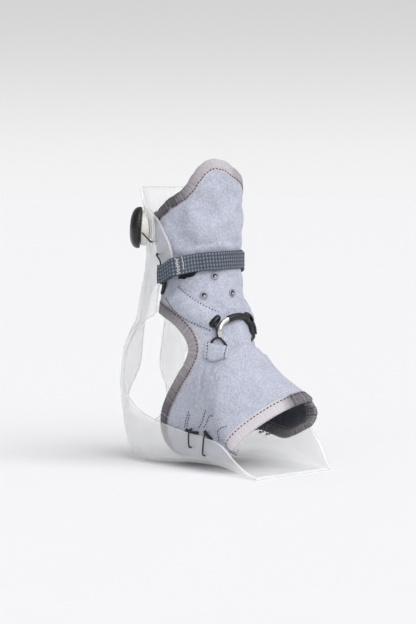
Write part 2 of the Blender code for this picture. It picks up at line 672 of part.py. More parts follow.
def build_eyelets(brace):
    """Thin rings set on the wrap over its lace vents."""
    r, bore, rim = EYELET_RADIUS, EYELET_BORE, EYELET_RIM
    for name, v, level in EYELETS:
        q = q_at_height(level / 100 * HEIGHT, v)
        ring = turned("eyelet_" + name, ((bore, 0), (r, 0), (0.9 * r, rim), (1.1 * bore, rim)), 20)
        ring = link("eyelet_" + name, ring, STEEL, brace)
        stand(ring, on_wrap(q, v, 1.5 * CLEARANCE), wrap_normal(q, v))


def build_arch(brace):
    """Steel lace guide arching over the instep, with its black cover."""
    outer = ARCH_RADIUS + 1.6 * CLEARANCE + COVER_WALL
    path = []
    for k in range(ARCH_STEPS + 1):
        w = math.pi * k / ARCH_STEPS
        rise = math.sin(w) ** 0.8
        v = (ARCH_NEAR + ARCH_FAR) / 2 + (ARCH_NEAR - ARCH_FAR) / 2 * math.cos(w)
        lift = ARCH_RADIUS + CLEARANCE + (outer + CLEARANCE - ARCH_RADIUS) * min(4.0 * rise, 1.0)
        path.append(on_wrap(ARCH_FOOT - ARCH_RISE * rise, v, lift))
    bar("guide_arch", path, ARCH_RADIUS, STEEL, brace)
    cover, grid, sides = range(5, ARCH_STEPS), [], 10
    for i in cover:
        way = (path[i + 1] - path[i - 1]).normalized()
        a = way.cross(Vector((1, 0, 0))).normalized()
        b = way.cross(a)
        grid.append([path[i] + (a * math.cos(2 * math.pi * k / sides) + b * math.sin(2 * math.pi * k / sides))
                     * outer for k in range(sides)])
    inside = path[cover[len(cover) // 2]]
    sleeve = link("arch_cover", sheet_mesh("arch_cover", grid, True, inside), BLACK, brace)
    thicken(sleeve, COVER_WALL, 0.0)


def build_cords(brace):
    """Short cords that tie the wrap to the shell walls, two a side."""
    for cords, far, label in ((NEAR_CORDS, False, "near"), (FAR_CORDS, True, "far")):
        side = 1.0 if far else -1.0
        for spot, (hx, hz), (kx, kz) in cords:
            hole = on_shell(hx, hz, far)
            wide = abs(on_shell(kx, kz - 3.0, far).y)
            step = Vector((0, side, 0))
            out = CORD_RADIUS + 2 * CLEARANCE
            knot = place(kx, 0.0, kz)
            inner = wide - SHELL_WALL - out
            path = [Vector((knot.x - 0.0035, side * inner, knot.z)),
                    Vector((knot.x, side * inner, knot.z + 0.0008)),
                    Vector((knot.x + 0.0016, side * (wide - SHELL_WALL / 2), knot.z + 0.0012)),
                    Vector((knot.x + 0.002, side * (wide + out), knot.z - 0.0022)),
                    hole + step * (1.6 * out) + Vector((0, 0, 0.003)), hole + step * out * 0.9,
                    hole - step * SHELL_WALL, hole - step * (SHELL_WALL + out * 0.6)]
            bar(f"cord_{spot}_{label}", smooth_path(path, 2), CORD_RADIUS, BLACK, brace)


def main():
    """Clear the file and build every piece."""
    for obj in list(bpy.data.objects):
        bpy.data.objects.remove(obj, do_unlink=True)
    brace = bpy.data.objects.new("brace", None)
    bpy.context.scene.collection.objects.link(brace)
    brace.location = -place(*ORIGIN, 0.0)
    build_shell(brace)
    build_wrap(brace)
    build_strap(brace)
    dial_at, dial_axis = build_dial(brace)
    build_laces(brace, dial_at, dial_axis)
    build_patches(brace)
    build_eyelets(brace)
    build_arch(brace)
    build_cords(brace)


main()
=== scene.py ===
import logging
import math
from dataclasses import dataclass
from enum import Enum
from typing import Callable, ClassVar, Sequence

import bmesh
import bpy
import numpy as np
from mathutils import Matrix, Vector


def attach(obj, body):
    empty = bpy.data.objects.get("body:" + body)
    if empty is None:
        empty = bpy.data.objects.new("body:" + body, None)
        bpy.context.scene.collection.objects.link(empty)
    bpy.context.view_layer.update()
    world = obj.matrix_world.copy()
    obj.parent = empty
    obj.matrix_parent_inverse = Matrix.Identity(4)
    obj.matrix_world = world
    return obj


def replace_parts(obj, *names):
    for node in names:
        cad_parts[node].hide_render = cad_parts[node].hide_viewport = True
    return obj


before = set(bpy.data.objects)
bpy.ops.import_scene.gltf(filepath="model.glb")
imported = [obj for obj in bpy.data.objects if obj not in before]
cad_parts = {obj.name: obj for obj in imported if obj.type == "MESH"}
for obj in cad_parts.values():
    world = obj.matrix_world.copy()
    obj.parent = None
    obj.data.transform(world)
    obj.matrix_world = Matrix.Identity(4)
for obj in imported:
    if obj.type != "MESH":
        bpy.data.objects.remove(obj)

LOG = logging.getLogger("brace")
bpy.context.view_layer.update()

MM = 0.001
# Overall sizes of the wrap and shell, in metres; the tables below are in percent of them.
REACH, HALF_WIDTH, HEIGHT = 0.156, 0.040, 0.230
SIZES = np.array((REACH, HALF_WIDTH, HEIGHT)) / 100
ORIGIN = np.array((42.45, -8.41, 0.0)) * SIZES

# Clear shell: back x and z, near edge x and z, half width, corner, and far edge x and z where it differs.
SHELL_TABLE = np.array([(*row, *row[2:4])[:8] for row in (
    (-4.5, 100.0, 0.5, 100.0, 101.2, 75.0),
    (-2.2, 94.0, 9.0, 94.0, 100.7, 77.5),
    (-0.6, 88.5, 21.0, 88.5, 100.5, 78.8),
    (0.0, 82.7, 27.6, 82.7, 100.5, 80.0),
    (0.0, 78.3, 31.4, 78.3, 100.5, 80.0),
    (0.0, 74.3, 32.3, 74.3, 100.5, 80.0),
    (-1.3, 69.9, 27.4, 69.9, 100.0, 80.0),
    (-3.5, 65.0, 22.0, 64.8, 99.0, 80.0),
    (-6.0, 60.2, 19.4, 59.5, 97.5, 80.0),
    (-8.1, 55.3, 17.4, 54.6, 95.0, 77.5),
    (-9.7, 51.5, 7.5, 51.2, 92.5, 70.0),
    (-11.0, 47.5, -0.5, 47.4, 91.2, 50.0),
    (-12.4, 42.0, -6.4, 41.8, 91.2, 27.5),
    (-13.7, 36.0, -10.2, 36.0, 91.2, 22.5),
    (-15.4, 30.0, -11.1, 30.5, 91.2, 25.0),
    (-16.3, 24.0, -8.0, 24.8, 91.6, 34.0),
    (-16.2, 17.0, 3.0, 19.0, 92.5, 45.0),
    (-14.0, 9.7, 15.5, 16.4, 94.5, 50.0),
    (-9.8, 4.0, 25.6, 15.0, 96.5, 50.0),
    (-2.4, 0.7, 34.0, 14.0, 98.0, 50.0),
    (7.7, 0.0, 42.0, 13.2, 98.8, 47.5),
    (23.1, 0.6, 51.0, 12.6, 99.5, 45.0),
    (38.5, 1.5, 60.0, 11.8, 100.0, 42.5),
    (52.6, 1.9, 68.5, 10.6, 101.0, 40.0, 66.7, 15.5),
    (64.7, 1.8, 74.0, 8.6, 102.0, 37.5, 75.5, 17.0),
    (75.6, 1.2, 79.5, 6.0, 103.5, 27.5, 81.5, 17.0),
    (85.0, 0.6, 86.3, 3.0, 104.5, 17.5, 87.2, 12.4),
    (92.5, 0.2, 92.8, 0.9, 105.0, 8.0, 92.8, 7.4),
    (97.5, 0.0, 97.7, 0.5, 105.0, 5.0, 98.1, 0.7),
)])
# Heel window: height and half width.
WINDOW_TABLE = (
    (65.5, 0.0), (64.9, 15.0), (62.8, 26.0), (59.5, 30.0), (50.5, 30.0), (43.5, 29.3),
    (37.5, 28.2), (33.0, 31.5), (29.5, 39.5), (25.8, 50.5), (21.5, 57.0), (17.0, 50.0),
    (13.6, 30.0), (12.4, 0.0),
)
# Rings of the wrap: front, back, near and far point, and the roundness of the back.
RING_TABLE = np.array((
    (49.1, 0.0, 113.3, 2.0, 0.0, 113.3, 24.9, -93.5, 113.3, 24.9, 95.0, 113.3, 2.0),
    (49.2, 0.0, 94.7, 2.4, 0.0, 94.7, 25.1, -92.5, 94.7, 25.1, 94.0, 94.7, 2.0),
    (49.3, 0.0, 82.7, 3.2, 0.0, 82.7, 25.9, -90.0, 82.7, 25.9, 90.5, 82.7, 2.0),
    (49.3, 0.0, 72.1, 6.2, 0.0, 72.1, 27.7, -83.5, 72.1, 27.7, 83.5, 72.1, 2.0),
    (50.6, 0.0, 62.8, 6.7, 0.0, 62.8, 29.0, -84.0, 62.8, 29.0, 84.0, 62.8, 2.0),
    (52.8, 0.0, 56.4, 4.9, 0.0, 53.1, 30.4, -90.0, 54.9, 30.4, 90.0, 54.9, 2.1),
    (56.4, -2.5, 52.0, -4.0, 0.0, 27.0, 34.3, -87.5, 44.2, 34.9, 87.5, 44.7, 3.2),
    (60.9, -7.5, 45.4, 17.0, 0.0, 5.6, 43.6, -86.5, 26.6, 44.9, 86.5, 29.0, 4.0),
    (66.7, -22.5, 42.6, 50.0, 5.0, 4.5, 56.4, -86.5, 20.4, 62.8, 85.0, 27.2, 4.0),
    (73.1, -37.5, 32.6, 76.9, 10.0, 8.2, 64.7, -87.0, 14.2, 82.7, 76.0, 26.8, 3.0),
    (90.0, -8.0, 21.6, 94.0, 10.0, 12.4, 75.5, -89.0, 8.0, 97.4, 66.0, 23.6, 3.0),
))
# Top edge: angle from the peak and height.
PEAK_TURN = 20.0
TOP_TABLE = (
    (-180.0, 92.6), (-130.0, 90.6), (-92.0, 90.3), (-77.0, 92.8), (-59.0, 95.8), (-45.0, 97.8),
    (-36.0, 100.2), (-28.0, 103.7), (-19.0, 106.9), (-9.0, 108.8), (0.0, 109.4), (15.0, 108.7),
    (31.0, 106.3), (52.0, 104.0), (67.0, 102.0), (90.0, 98.0), (125.0, 94.6), (180.0, 92.6),
)
# Openings at the heel and the sole, seen from the side, and the side where the sole's begins.
HEEL_TABLE = (
    (-19.2, 54.3), (12.8, 54.4), (23.0, 53.2), (29.7, 51.5), (35.2, 48.9), (39.4, 45.8),
    (41.4, 42.2), (39.5, 38.5), (35.2, 34.7), (30.8, 31.0), (27.0, 27.6), (22.8, 23.5),
    (19.7, 19.6), (17.8, 15.1), (17.8, 9.5), (21.5, 5.0), (25.5, 0.0), (24.0, -7.1), (-19.2, -7.1),
)
SOLE_TABLE = (
    (37.0, -4.0), (37.5, 2.5), (42.0, 9.8), (49.0, 12.6), (58.0, 11.7), (67.5, 10.7), (78.0, 10.6),
    (86.0, 12.0), (95.0, 15.6), (109.0, 20.0), (109.0, -4.0),
)
SOLE_NEAR = -82.0
LAST_RING = len(RING_TABLE) - 1.0
# Shin strap: angle round the leg and height of its middle.
STRAP_TABLE = (
    (-90.0, 70.5), (-60.0, 74.0), (0.0, 74.0), (30.0, 73.7), (48.0, 73.2), (61.0, 71.8),
    (68.0, 70.4), (80.0, 69.2), (90.0, 68.8),
)
# Holes of the lace in the shell; the ties' names, sides, holes and knots, all seen from the side.
LACE_HOLES = ((17.0, 80.4), (22.1, 75.9))
TIES = (("rear_near", False, (47.6, 8.2), (45.6, 13.9)), ("front_near", False, (58.6, 6.1), (57.4, 13.1)),
        ("rear_far", True, (48.7, 10.8), (47.2, 13.9)), ("front_far", True, (53.8, 10.3), (52.8, 13.4)))


class Body(Enum):
    """The rigid bodies of the frame that pieces ride on."""

    BRACE = "brace"
    KNOB = "knob"


def srgb(code: str) -> tuple[float, float, float, float]:
    """Turn an sRGB hex colour into a linear one.

    Args:
        code: Six hex digits.

    Returns:
        Linear red, green, blue and an alpha of one.
    """
    parts = [int(code[i:i + 2], 16) / 255 for i in (0, 2, 4)]
    linear = [c / 12.92 if c <= 0.04045 else ((c + 0.055) / 1.055) ** 2.4 for c in parts]
    return (linear[0], linear[1], linear[2], 1.0)


def add_node(tree: bpy.types.NodeTree, kind: str, settings: dict | None = None,
             links: dict | None = None, feeds: dict | None = None) -> bpy.types.Node:
    """Add a shader node with its settings and its links.

    Args:
        tree: Node tree that takes the node.
        kind: Blender's name of the node type.
        settings: Values by socket name or number, or by property name.
        links: Source sockets by socket name or number.
        feeds: Sockets that take its outputs, by output name or number.

    Returns:
        The new node.
    """
    made = tree.nodes.new(kind)
    for key, value in (settings or {}).items():
        if isinstance(key, int) or key in made.inputs:
            made.inputs[key].default_value = value
        else:
            setattr(made, key, value)
    for key, source in (links or {}).items():
        tree.links.new(source, made.inputs[key])
    for key, target in (feeds or {}).items():
        tree.links.new(made.outputs[key], target)
    return made


def wrapped(degrees: np.ndarray) -> np.ndarray:
    """Angles brought between -180 and 180 degrees."""
    return (degrees + 180.0) % 360.0 - 180.0


def part_way(values: np.ndarray, start: float, reach: float) -> np.ndarray:
    """How far values are from a start over a reach, from 0 to 1."""
    return np.clip((values - start) / reach, 0.0, 1.0)


def place(points: Sequence) -> np.ndarray:
    """Turn percentages of the three overall sizes into metres from the cuff's back."""
    return np.asarray(points, dtype=float) * SIZES


def table_at(table: np.ndarray, q: np.ndarray) -> np.ndarray:
    """Values of a table at fractional row numbers, on the curve through its rows.

    Args:
        table: Rows of values.
        q: Fractional row numbers.

    Returns:
        One row of values per number.
    """
    q = np.clip(np.asarray(q, dtype=float), 0.0, len(table) - 1.0)
    i = np.minimum(q.astype(int), len(table) - 2)
    t = (q - i)[..., None]
    p0, p1, p2, p3 = (table[np.clip(i + k, 0, len(table) - 1)] for k in (-1, 0, 1, 2))
    return 0.5 * (2 * p1 + (p2 - p0) * t + (2 * p0 - 5 * p1 + 4 * p2 - p3) * t ** 2
                  + (3 * p1 - p0 - 3 * p2 + p3) * t ** 3)


def eased(pairs: Sequence, x: np.ndarray) -> np.ndarray:
    """Value of a two-column table, eased between its rows.

    Args:
        pairs: Rows of position and value, positions rising.
        x: Positions.

    Returns:
        The values.
    """
    table = np.array(pairs)
    i = np.clip(np.searchsorted(table[:, 0], x) - 1, 0, len(table) - 2)
    t = np.clip((x - table[i, 0]) / (table[i + 1, 0] - table[i, 0]), 0.0, 1.0)
    t = 0.5 * t + 0.5 * t * t * (3 - 2 * t)
    return table[i, 1] + (table[i + 1, 1] - table[i, 1]) * t


def smooth_loop(points: Sequence, steps: int) -> np.ndarray:
    """Closed plane curve through points.

    Args:
        points: Corners in order.
        steps: Points made from one corner to the next.

    Returns:
        The curve's points.
    """
    table = np.array(points, dtype=float)
    ring = np.concatenate((table[-1:], table, table[:2]))
    return np.concatenate([table_at(ring, i + np.arange(steps) / steps) for i in range(1, len(table) + 1)])


def smooth_path(points: Sequence, steps: int) -> np.ndarray:
    """Open space curve through points, with the given steps between neighbours."""
    table = np.array(points, dtype=float)
    return table_at(table, np.arange((len(table) - 1) * steps + 1) / steps)


def resample(path: np.ndarray, gap: float, closed: bool = False) -> np.ndarray:
    """Space points evenly along a path.

    Args:
        path: Points of the path.
        gap: Wanted distance between points.
        closed: Whether the path is a loop.

    Returns:
        The evenly spaced points.
    """
    line = np.concatenate((path, path[:1])) if closed else path
    run = lengths(line)
    count = max(int(round(run[-1] / gap)), 2)
    at = np.linspace(0.0, run[-1], count + 1)
    if closed:
        at = at[:-1]
    return np.stack([np.interp(at, run, line[:, c]) for c in range(line.shape[1])], axis=-1)


def unit(vectors: np.ndarray) -> np.ndarray:
    """Vectors scaled to length one."""
    long = np.linalg.norm(vectors, axis=-1, keepdims=True)
    return vectors / np.maximum(long, 1e-12)


def lengths(path: np.ndarray) -> np.ndarray:
    """Length run along a path at each of its points."""
    return np.concatenate(([0.0], np.cumsum(np.linalg.norm(np.diff(path, axis=0), axis=1))))


def directions(path: np.ndarray, closed: bool) -> np.ndarray:
    """Unit vectors along a path at each of its points."""
    return unit(np.roll(path, -1, axis=0) - np.roll(path, 1, axis=0) if closed else np.gradient(path, axis=0))


def signed_depth(points: np.ndarray, loop: np.ndarray) -> np.ndarray:
    """Signed distance of plane points to a closed outline.

    Args:
        points: Points in the plane.
        loop: Outline in the plane.

    Returns:
        Distances, above zero inside the outline.
    """
    best = np.full(len(points), 1e9)
    inside = np.zeros(len(points), dtype=bool)
    for a, b in zip(loop, np.roll(loop, -1, axis=0)):
        edge = b - a
        t = np.clip(((points - a) @ edge) / max(edge @ edge, 1e-18), 0.0, 1.0)
        best = np.minimum(best, np.linalg.norm(points - a - t[:, None] * edge, axis=1))
        cross = (a[1] > points[:, 1]) != (b[1] > points[:, 1])
        if a[1] != b[1]:
            reach = a[0] + (points[:, 1] - a[1]) * edge[0] / edge[1]
            inside ^= cross & (points[:, 0] < reach)
    return np.where(inside, best, -best)


def ripple(at: np.ndarray, pitch: float, seed: int) -> np.ndarray:
    """Uneven ripple between -1 and 1 along a length.

    Args:
        at: Lengths along the path.
        pitch: Mean length of one ripple.
        seed: Number that sets the unevenness.

    Returns:
        The ripple's height at each length.
    """
    turn = 2 * math.pi * at / pitch
    drift = 1.3 * np.sin(turn * 0.31 + seed) + 0.8 * np.sin(turn * 0.173 + 2.1 * seed)
    strength = 0.65 + 0.35 * np.sin(turn * 0.213 + 1.7 * seed)
    return np.sin(turn + drift) * strength


def grid_faces(rows: int, cols: int, closed: bool, looped: bool = False) -> list[tuple[int, ...]]:
    """Quads over a grid of points.

    Args:
        rows: Number of rows.
        cols: Number of points in a row.
        closed: Whether each row closes on itself.
        looped: Whether the last row joins the first.

    Returns:
        The quads as point numbers.
    """
    wide, high = (cols if closed else cols - 1), (rows if looped else rows - 1)
    return [(r * cols + c, r * cols + (c + 1) % cols,
             (r + 1) % rows * cols + (c + 1) % cols, (r + 1) % rows * cols + c)
            for r in range(high) for c in range(wide)]


def show(name: str, data: bpy.types.ID, finish: "Finish", body: Body) -> bpy.types.Object:
    """Link an object, give it its finish and the body that it rides on.

    Args:
        name: Name of the piece.
        data: Mesh or curve.
        finish: Surface finish.
        body: Body that carries the piece.

    Returns:
        The new object.
    """
    obj = bpy.data.objects.new(name, data)
    bpy.context.scene.collection.objects.link(obj)
    data.materials.append(finish.material())
    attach(obj, body.value)
    LOG.info("%s: %s", name, finish.name)
    return obj


def mesh_piece(name: str, points: np.ndarray, faces: Sequence, finish: "Finish",
               body: Body = Body.BRACE, flip: bool = False) -> bpy.types.Object:
    """Make a smooth mesh piece from points given from the cuff's back.

    Args:
        name: Name of the piece.
        points: Corner points in metres.
        faces: Faces as tuples of point numbers.
        finish: Surface finish.
        body: Body that carries the piece.
        flip: Whether the faces are turned over.

    Returns:
        The new object.
    """
    mesh = bpy.data.meshes.new(name)
    faces = [tuple(reversed(f)) for f in faces] if flip else faces
    mesh.from_pydata((np.asarray(points) - ORIGIN).tolist(), [], faces)
    mesh.validate()
    mesh.shade_smooth()
    return show(name, mesh, finish, body)


def cord_piece(name: str, path: np.ndarray, radius: float, finish: "Finish") -> bpy.types.Object:
    """Make a round cord or bar along a path given from the cuff's back.

    Args:
        name: Name of the piece.
        path: Points of the route in metres.
        radius: Radius in metres.
        finish: Surface finish.

    Returns:
        The new curve object.
    """
    curve = bpy.data.curves.new(name, "CURVE")
    curve.dimensions = "3D"
    curve.bevel_depth = radius
    curve.bevel_resolution = 4
    curve.use_fill_caps = True
    spline = curve.splines.new("POLY")
    spline.points.add(len(path) - 1)
    for point, p in zip(spline.points, np.asarray(path) - ORIGIN):
        point.co = (*p, 1.0)
    return show(name, curve, finish, Body.BRACE)


def modify(obj: bpy.types.Object, kind: str, **settings: object) -> None:
    """Add a modifier.

    Args:
        obj: Object that takes it.
        kind: Blender's name of its type.
        settings: Its properties.
    """
    made = obj.modifiers.new(kind.lower(), kind)
    for key, value in settings.items():
        setattr(made, key, value)


def settle(obj: bpy.types.Object) -> None:
    """Apply an object's modifiers to its mesh.

    Args:
        obj: The object.
    """
    deps = bpy.context.evaluated_depsgraph_get()
    mesh = bpy.data.meshes.new_from_object(obj.evaluated_get(deps))
    obj.modifiers.clear()
    obj.data = mesh


@dataclass(frozen=True)
class Finish:
    """A surface finish: one procedural material."""

    name: str
    colour: str
    roughness: float
    # Further sockets of the shader that are the same all over the surface.
    GLOSS: ClassVar[tuple] = ()

    def material(self) -> bpy.types.Material:
        """Return the material, made on first use.

        Returns:
            The material.
        """
        made = bpy.data.materials.get(self.name)
        if made is None:
            made = bpy.data.materials.new(self.name)
            made.use_nodes = True
            shader = made.node_tree.nodes["Principled BSDF"]
            shader.inputs["Base Color"].default_value = srgb(self.colour)
            for socket, value in (("Roughness", self.roughness), *self.GLOSS):
                shader.inputs[socket].default_value = value
            self.paint(made.node_tree, shader)
        return made

    def paint(self, tree: bpy.types.NodeTree, shader: bpy.types.Node) -> None:
        """Add the finish's own nodes; a plain one has none."""


# A wave texture has a band every 0.314 units at scale 1, and a band stands for two rows of stitches.
BAND = 0.314 / 2


@dataclass(frozen=True)
class HeatherJersey(Finish):
    """Polyester jersey over foam: two yarn shades in fine flecks, soft and without gloss."""

    dark: str = "999DAC"
    light: str = "C9CCD9"
    # Millimetres. Real flecks are about 0.3 and real rows 0.6 apart, too fine to show: drawn coarser.
    fleck: float = 1.0
    stitch: float = 1.1
    cloud: float = 9.0
    raised: float = 0.3
    GLOSS: ClassVar[tuple] = (("Sheen Weight", 0.25), ("Sheen Roughness", 0.5), ("Specular IOR Level", 0.2))

    def paint(self, tree: bpy.types.NodeTree, shader: bpy.types.Node) -> None:
        """Mix the yarns by flecks a few fibres wide and raise the knit's columns.

        Args:
            tree: Node tree of the material.
            shader: Its main shader.
        """
        where = add_node(tree, "ShaderNodeTexCoord").outputs["Object"]
        drawn = add_node(tree, "ShaderNodeMapping", {"Scale": (1.0, 1.0, 0.55)}, {"Vector": where})
        flecks = add_node(tree, "ShaderNodeTexNoise", {"Scale": 1 / (self.fleck * MM), "Detail": 2.5,
                                                       "Roughness": 0.75}, {"Vector": drawn.outputs[0]})
        cloud = add_node(tree, "ShaderNodeTexNoise", {"Scale": 1 / (self.cloud * MM), "Detail": 2.0},
                         {"Vector": where})
        shade = add_node(tree, "ShaderNodeMath", {"operation": "MULTIPLY_ADD", 1: 0.22},
                         {0: cloud.outputs["Fac"], 2: flecks.outputs["Fac"]})
        ramp = add_node(tree, "ShaderNodeMapRange", {"From Min": 0.42, "From Max": 0.86},
                        {"Value": shade.outputs[0]})
        add_node(tree, "ShaderNodeMix", {"data_type": "RGBA", 6: srgb(self.dark), 7: srgb(self.light)},
                 {0: ramp.outputs[0]}, {2: shader.inputs["Base Color"]})
        knit = add_node(tree, "ShaderNodeTexWave", {"Scale": BAND / (self.stitch * MM), "Distortion": 2.0,
                                                    "Detail": 1.0, "Detail Scale": 2.0,
                                                    "bands_direction": "Z"}, {"Vector": where})
        rough = add_node(tree, "ShaderNodeMath", {"operation": "MULTIPLY_ADD", 1: 0.16},
                         {0: knit.outputs["Fac"], 2: flecks.outputs["Fac"]})
        add_node(tree, "ShaderNodeBump", {"Strength": 1.0, "Distance": self.raised * MM},
                 {"Height": rough.outputs[0]}, {"Normal": shader.inputs["Normal"]})


@dataclass(frozen=True)
class KnitTape(Finish):
    """Knitted polyester binding tape: close ribs with a faint silky sheen."""

    # Colour of the tape at the darkest of its painted shade.
    dark: str = "4E4A51"
    # Millimetres. Real ribs are about 0.5 apart, too fine to show: drawn coarser.
    rib: float = 0.9
    cloud: float = 3.0
    raised: float = 0.12
    GLOSS: ClassVar[tuple] = (("Sheen Weight", 0.3), ("Specular IOR Level", 0.3))

    def paint(self, tree: bpy.types.NodeTree, shader: bpy.types.Node) -> None:
        """Colour the tape by the painted shade and painted light stored on its points, with soft patches, and
        raise its fine ribs.

        Args:
            tree: Node tree of the material.
            shader: Its main shader.
        """
        where = add_node(tree, "ShaderNodeTexCoord").outputs["Object"]
        cloud = add_node(tree, "ShaderNodeTexNoise", {"Scale": 1 / (self.cloud * MM), "Detail": 4.0,
                                                      "Roughness": 0.7}, {"Vector": where})
        # drawn_in holds painted shade and painted light: darker in the gathers and where less light falls,
        # paler where light falls.
        drawn = add_node(tree, "ShaderNodeAttribute", {"attribute_name": "drawn_in"})
        ramp = add_node(tree, "ShaderNodeMath", {"operation": "MULTIPLY_ADD", 1: -0.5, "use_clamp": True},
                        {0: cloud.outputs["Fac"], 2: drawn.outputs["Fac"]})
        add_node(tree, "ShaderNodeMix", {"data_type": "RGBA", 6: srgb(self.dark), 7: srgb(self.colour)},
                 {0: ramp.outputs[0]}, {2: shader.inputs["Base Color"]})
        ribs = add_node(tree, "ShaderNodeTexWave", {"Scale": BAND / (self.rib * MM), "Distortion": 3.0,
                                                    "Detail": 2.0, "bands_direction": "DIAGONAL"},
                        {"Vector": where})
        add_node(tree, "ShaderNodeBump", {"Strength": 1.0, "Distance": self.raised * MM},
                 {"Height": ribs.outputs["Fac"]}, {"Normal": shader.inputs["Normal"]})


@dataclass(frozen=True)
class WovenYarn(Finish):
    """Filament yarn, woven or braided: fine broken painted highlights on a dark ground."""

    # Colour of the painted highlights.
    light: str = "6E7C8A"
    # Millimetres. Real yarns are about 0.4 apart, too fine to show: drawn coarser.
    pitch: float = 0.8
    raised: float = 0.1

    def paint(self, tree: bpy.types.NodeTree, shader: bpy.types.Node) -> None:
        """Break the colour up by yarn, with a painted highlight at each yarn's middle, and raise each yarn a
        little.

        Args:
            tree: Node tree of the material.
            shader: Its main shader.
        """
        where = add_node(tree, "ShaderNodeTexCoord").outputs["Object"]
        yarn = add_node(tree, "ShaderNodeTexVoronoi", {"Scale": 1 / (self.pitch * MM), "Randomness": 0.6},
                        {"Vector": where})
        ramp = add_node(tree, "ShaderNodeMapRange", {"From Min": 0.1, "From Max": 0.7, "To Min": 1.0,
                                                     "To Max": 0.0}, {"Value": yarn.outputs["Distance"]})
        add_node(tree, "ShaderNodeMix", {"data_type": "RGBA", 6: srgb(self.colour), 7: srgb(self.light)},
                 {0: ramp.outputs[0]}, {2: shader.inputs["Base Color"]})
        add_node(tree, "ShaderNodeBump", {"Strength": 1.0, "Distance": self.raised * MM},
                 {"Height": ramp.outputs[0]}, {"Normal": shader.inputs["Normal"]})


@dataclass(frozen=True)
class RibbedWebbing(Finish):
    """Polyester webbing: painted light on its yarn tops and painted shade in the dark furrows between them."""

    light: str = "8F9AA8"
    # Millimetres. Real filaments are about 0.1 thick, too fine to show: drawn coarser.
    filament: float = 0.9
    depth: float = 0.1

    def paint(self, tree: bpy.types.NodeTree, shader: bpy.types.Node) -> None:
        """Colour the yarn by how far it stands out, as painted light on its tops and painted shade in its
        furrows, and break it up by filament.

        Args:
            tree: Node tree of the material.
            shader: Its main shader.
        """
        where = add_node(tree, "ShaderNodeTexCoord").outputs["Object"]
        yarn = add_node(tree, "ShaderNodeTexNoise", {"Scale": 1 / (self.filament * MM), "Detail": 2.0},
                        {"Vector": where})
        # Painted light on the raised yarn tops and painted shade in the furrows.
        raised = add_node(tree, "ShaderNodeAttribute", {"attribute_name": "raised"})
        mixed = add_node(tree, "ShaderNodeMath", {"operation": "MULTIPLY"},
                         {0: yarn.outputs["Fac"], 1: raised.outputs["Fac"]})
        ramp = add_node(tree, "ShaderNodeMapRange", {"From Min": 0.08, "From Max": 0.6},
                        {"Value": mixed.outputs[0]})
        add_node(tree, "ShaderNodeMix", {"data_type": "RGBA", 6: srgb(self.colour), 7: srgb(self.light)},
                 {0: ramp.outputs[0]}, {2: shader.inputs["Base Color"]})
        add_node(tree, "ShaderNodeBump", {"Strength": 1.0, "Distance": self.depth * MM},
                 {"Height": yarn.outputs["Fac"]}, {"Normal": shader.inputs["Normal"]})


@dataclass(frozen=True)
class ClearPolypropylene(Finish):
    """Thermoformed polypropylene: see-through with a milky veil that thickens at a slant."""

    face: float = 0.1
    slant: float = 0.5
    # Millimetres: length and height of the waves that the forming leaves.
    wave: float = 28.0
    raised: float = 0.8
    GLOSS: ClassVar[tuple] = (("IOR", 1.49), ("Subsurface Weight", 0.85),
                              ("Subsurface Radius", (1.0, 1.0, 1.0)), ("Subsurface Scale", 6.0 * MM))

    def paint(self, tree: bpy.types.NodeTree, shader: bpy.types.Node) -> None:
        """Set the veil by the slant of the surface and add the faint waves of the forming.

        Args:
            tree: Node tree of the material.
            shader: Its main shader.
        """
        edge = add_node(tree, "ShaderNodeLayerWeight", {"Blend": 0.35})
        add_node(tree, "ShaderNodeMapRange", {"To Min": self.face, "To Max": self.slant},
                 {"Value": edge.outputs["Facing"]}, {0: shader.inputs["Alpha"]})
        where = add_node(tree, "ShaderNodeTexCoord").outputs["Object"]
        waves = add_node(tree, "ShaderNodeTexNoise", {"Scale": 1 / (self.wave * MM), "Detail": 1.0},
                         {"Vector": where})
        add_node(tree, "ShaderNodeBump", {"Strength": 1.0, "Distance": self.raised * MM},
                 {"Height": waves.outputs["Fac"]}, {"Normal": shader.inputs["Normal"]})


@dataclass(frozen=True)
class Moulded(Finish):
    """Injection-moulded plastic or rubber: even colour with a fine spark-eroded grain."""

    # Millimetres. Real grain is about 0.05 wide, too fine to show: drawn coarser.
    grain: float = 0.5
    depth: float = 0.03

    def paint(self, tree: bpy.types.NodeTree, shader: bpy.types.Node) -> None:
        """Add the grain and a slight change of gloss over it.

        Args:
            tree: Node tree of the material.
            shader: Its main shader.
        """
        where = add_node(tree, "ShaderNodeTexCoord").outputs["Object"]
        noise = add_node(tree, "ShaderNodeTexNoise", {"Scale": 1 / (self.grain * MM), "Detail": 3.0},
                         {"Vector": where})
        add_node(tree, "ShaderNodeMapRange", {"To Min": self.roughness * 0.8,
                                              "To Max": min(self.roughness * 1.3, 1.0)},
                 {"Value": noise.outputs["Fac"]}, {0: shader.inputs["Roughness"]})
        add_node(tree, "ShaderNodeBump", {"Strength": 1.0, "Distance": self.depth * MM},
                 {"Height": noise.outputs["Fac"]}, {"Normal": shader.inputs["Normal"]})


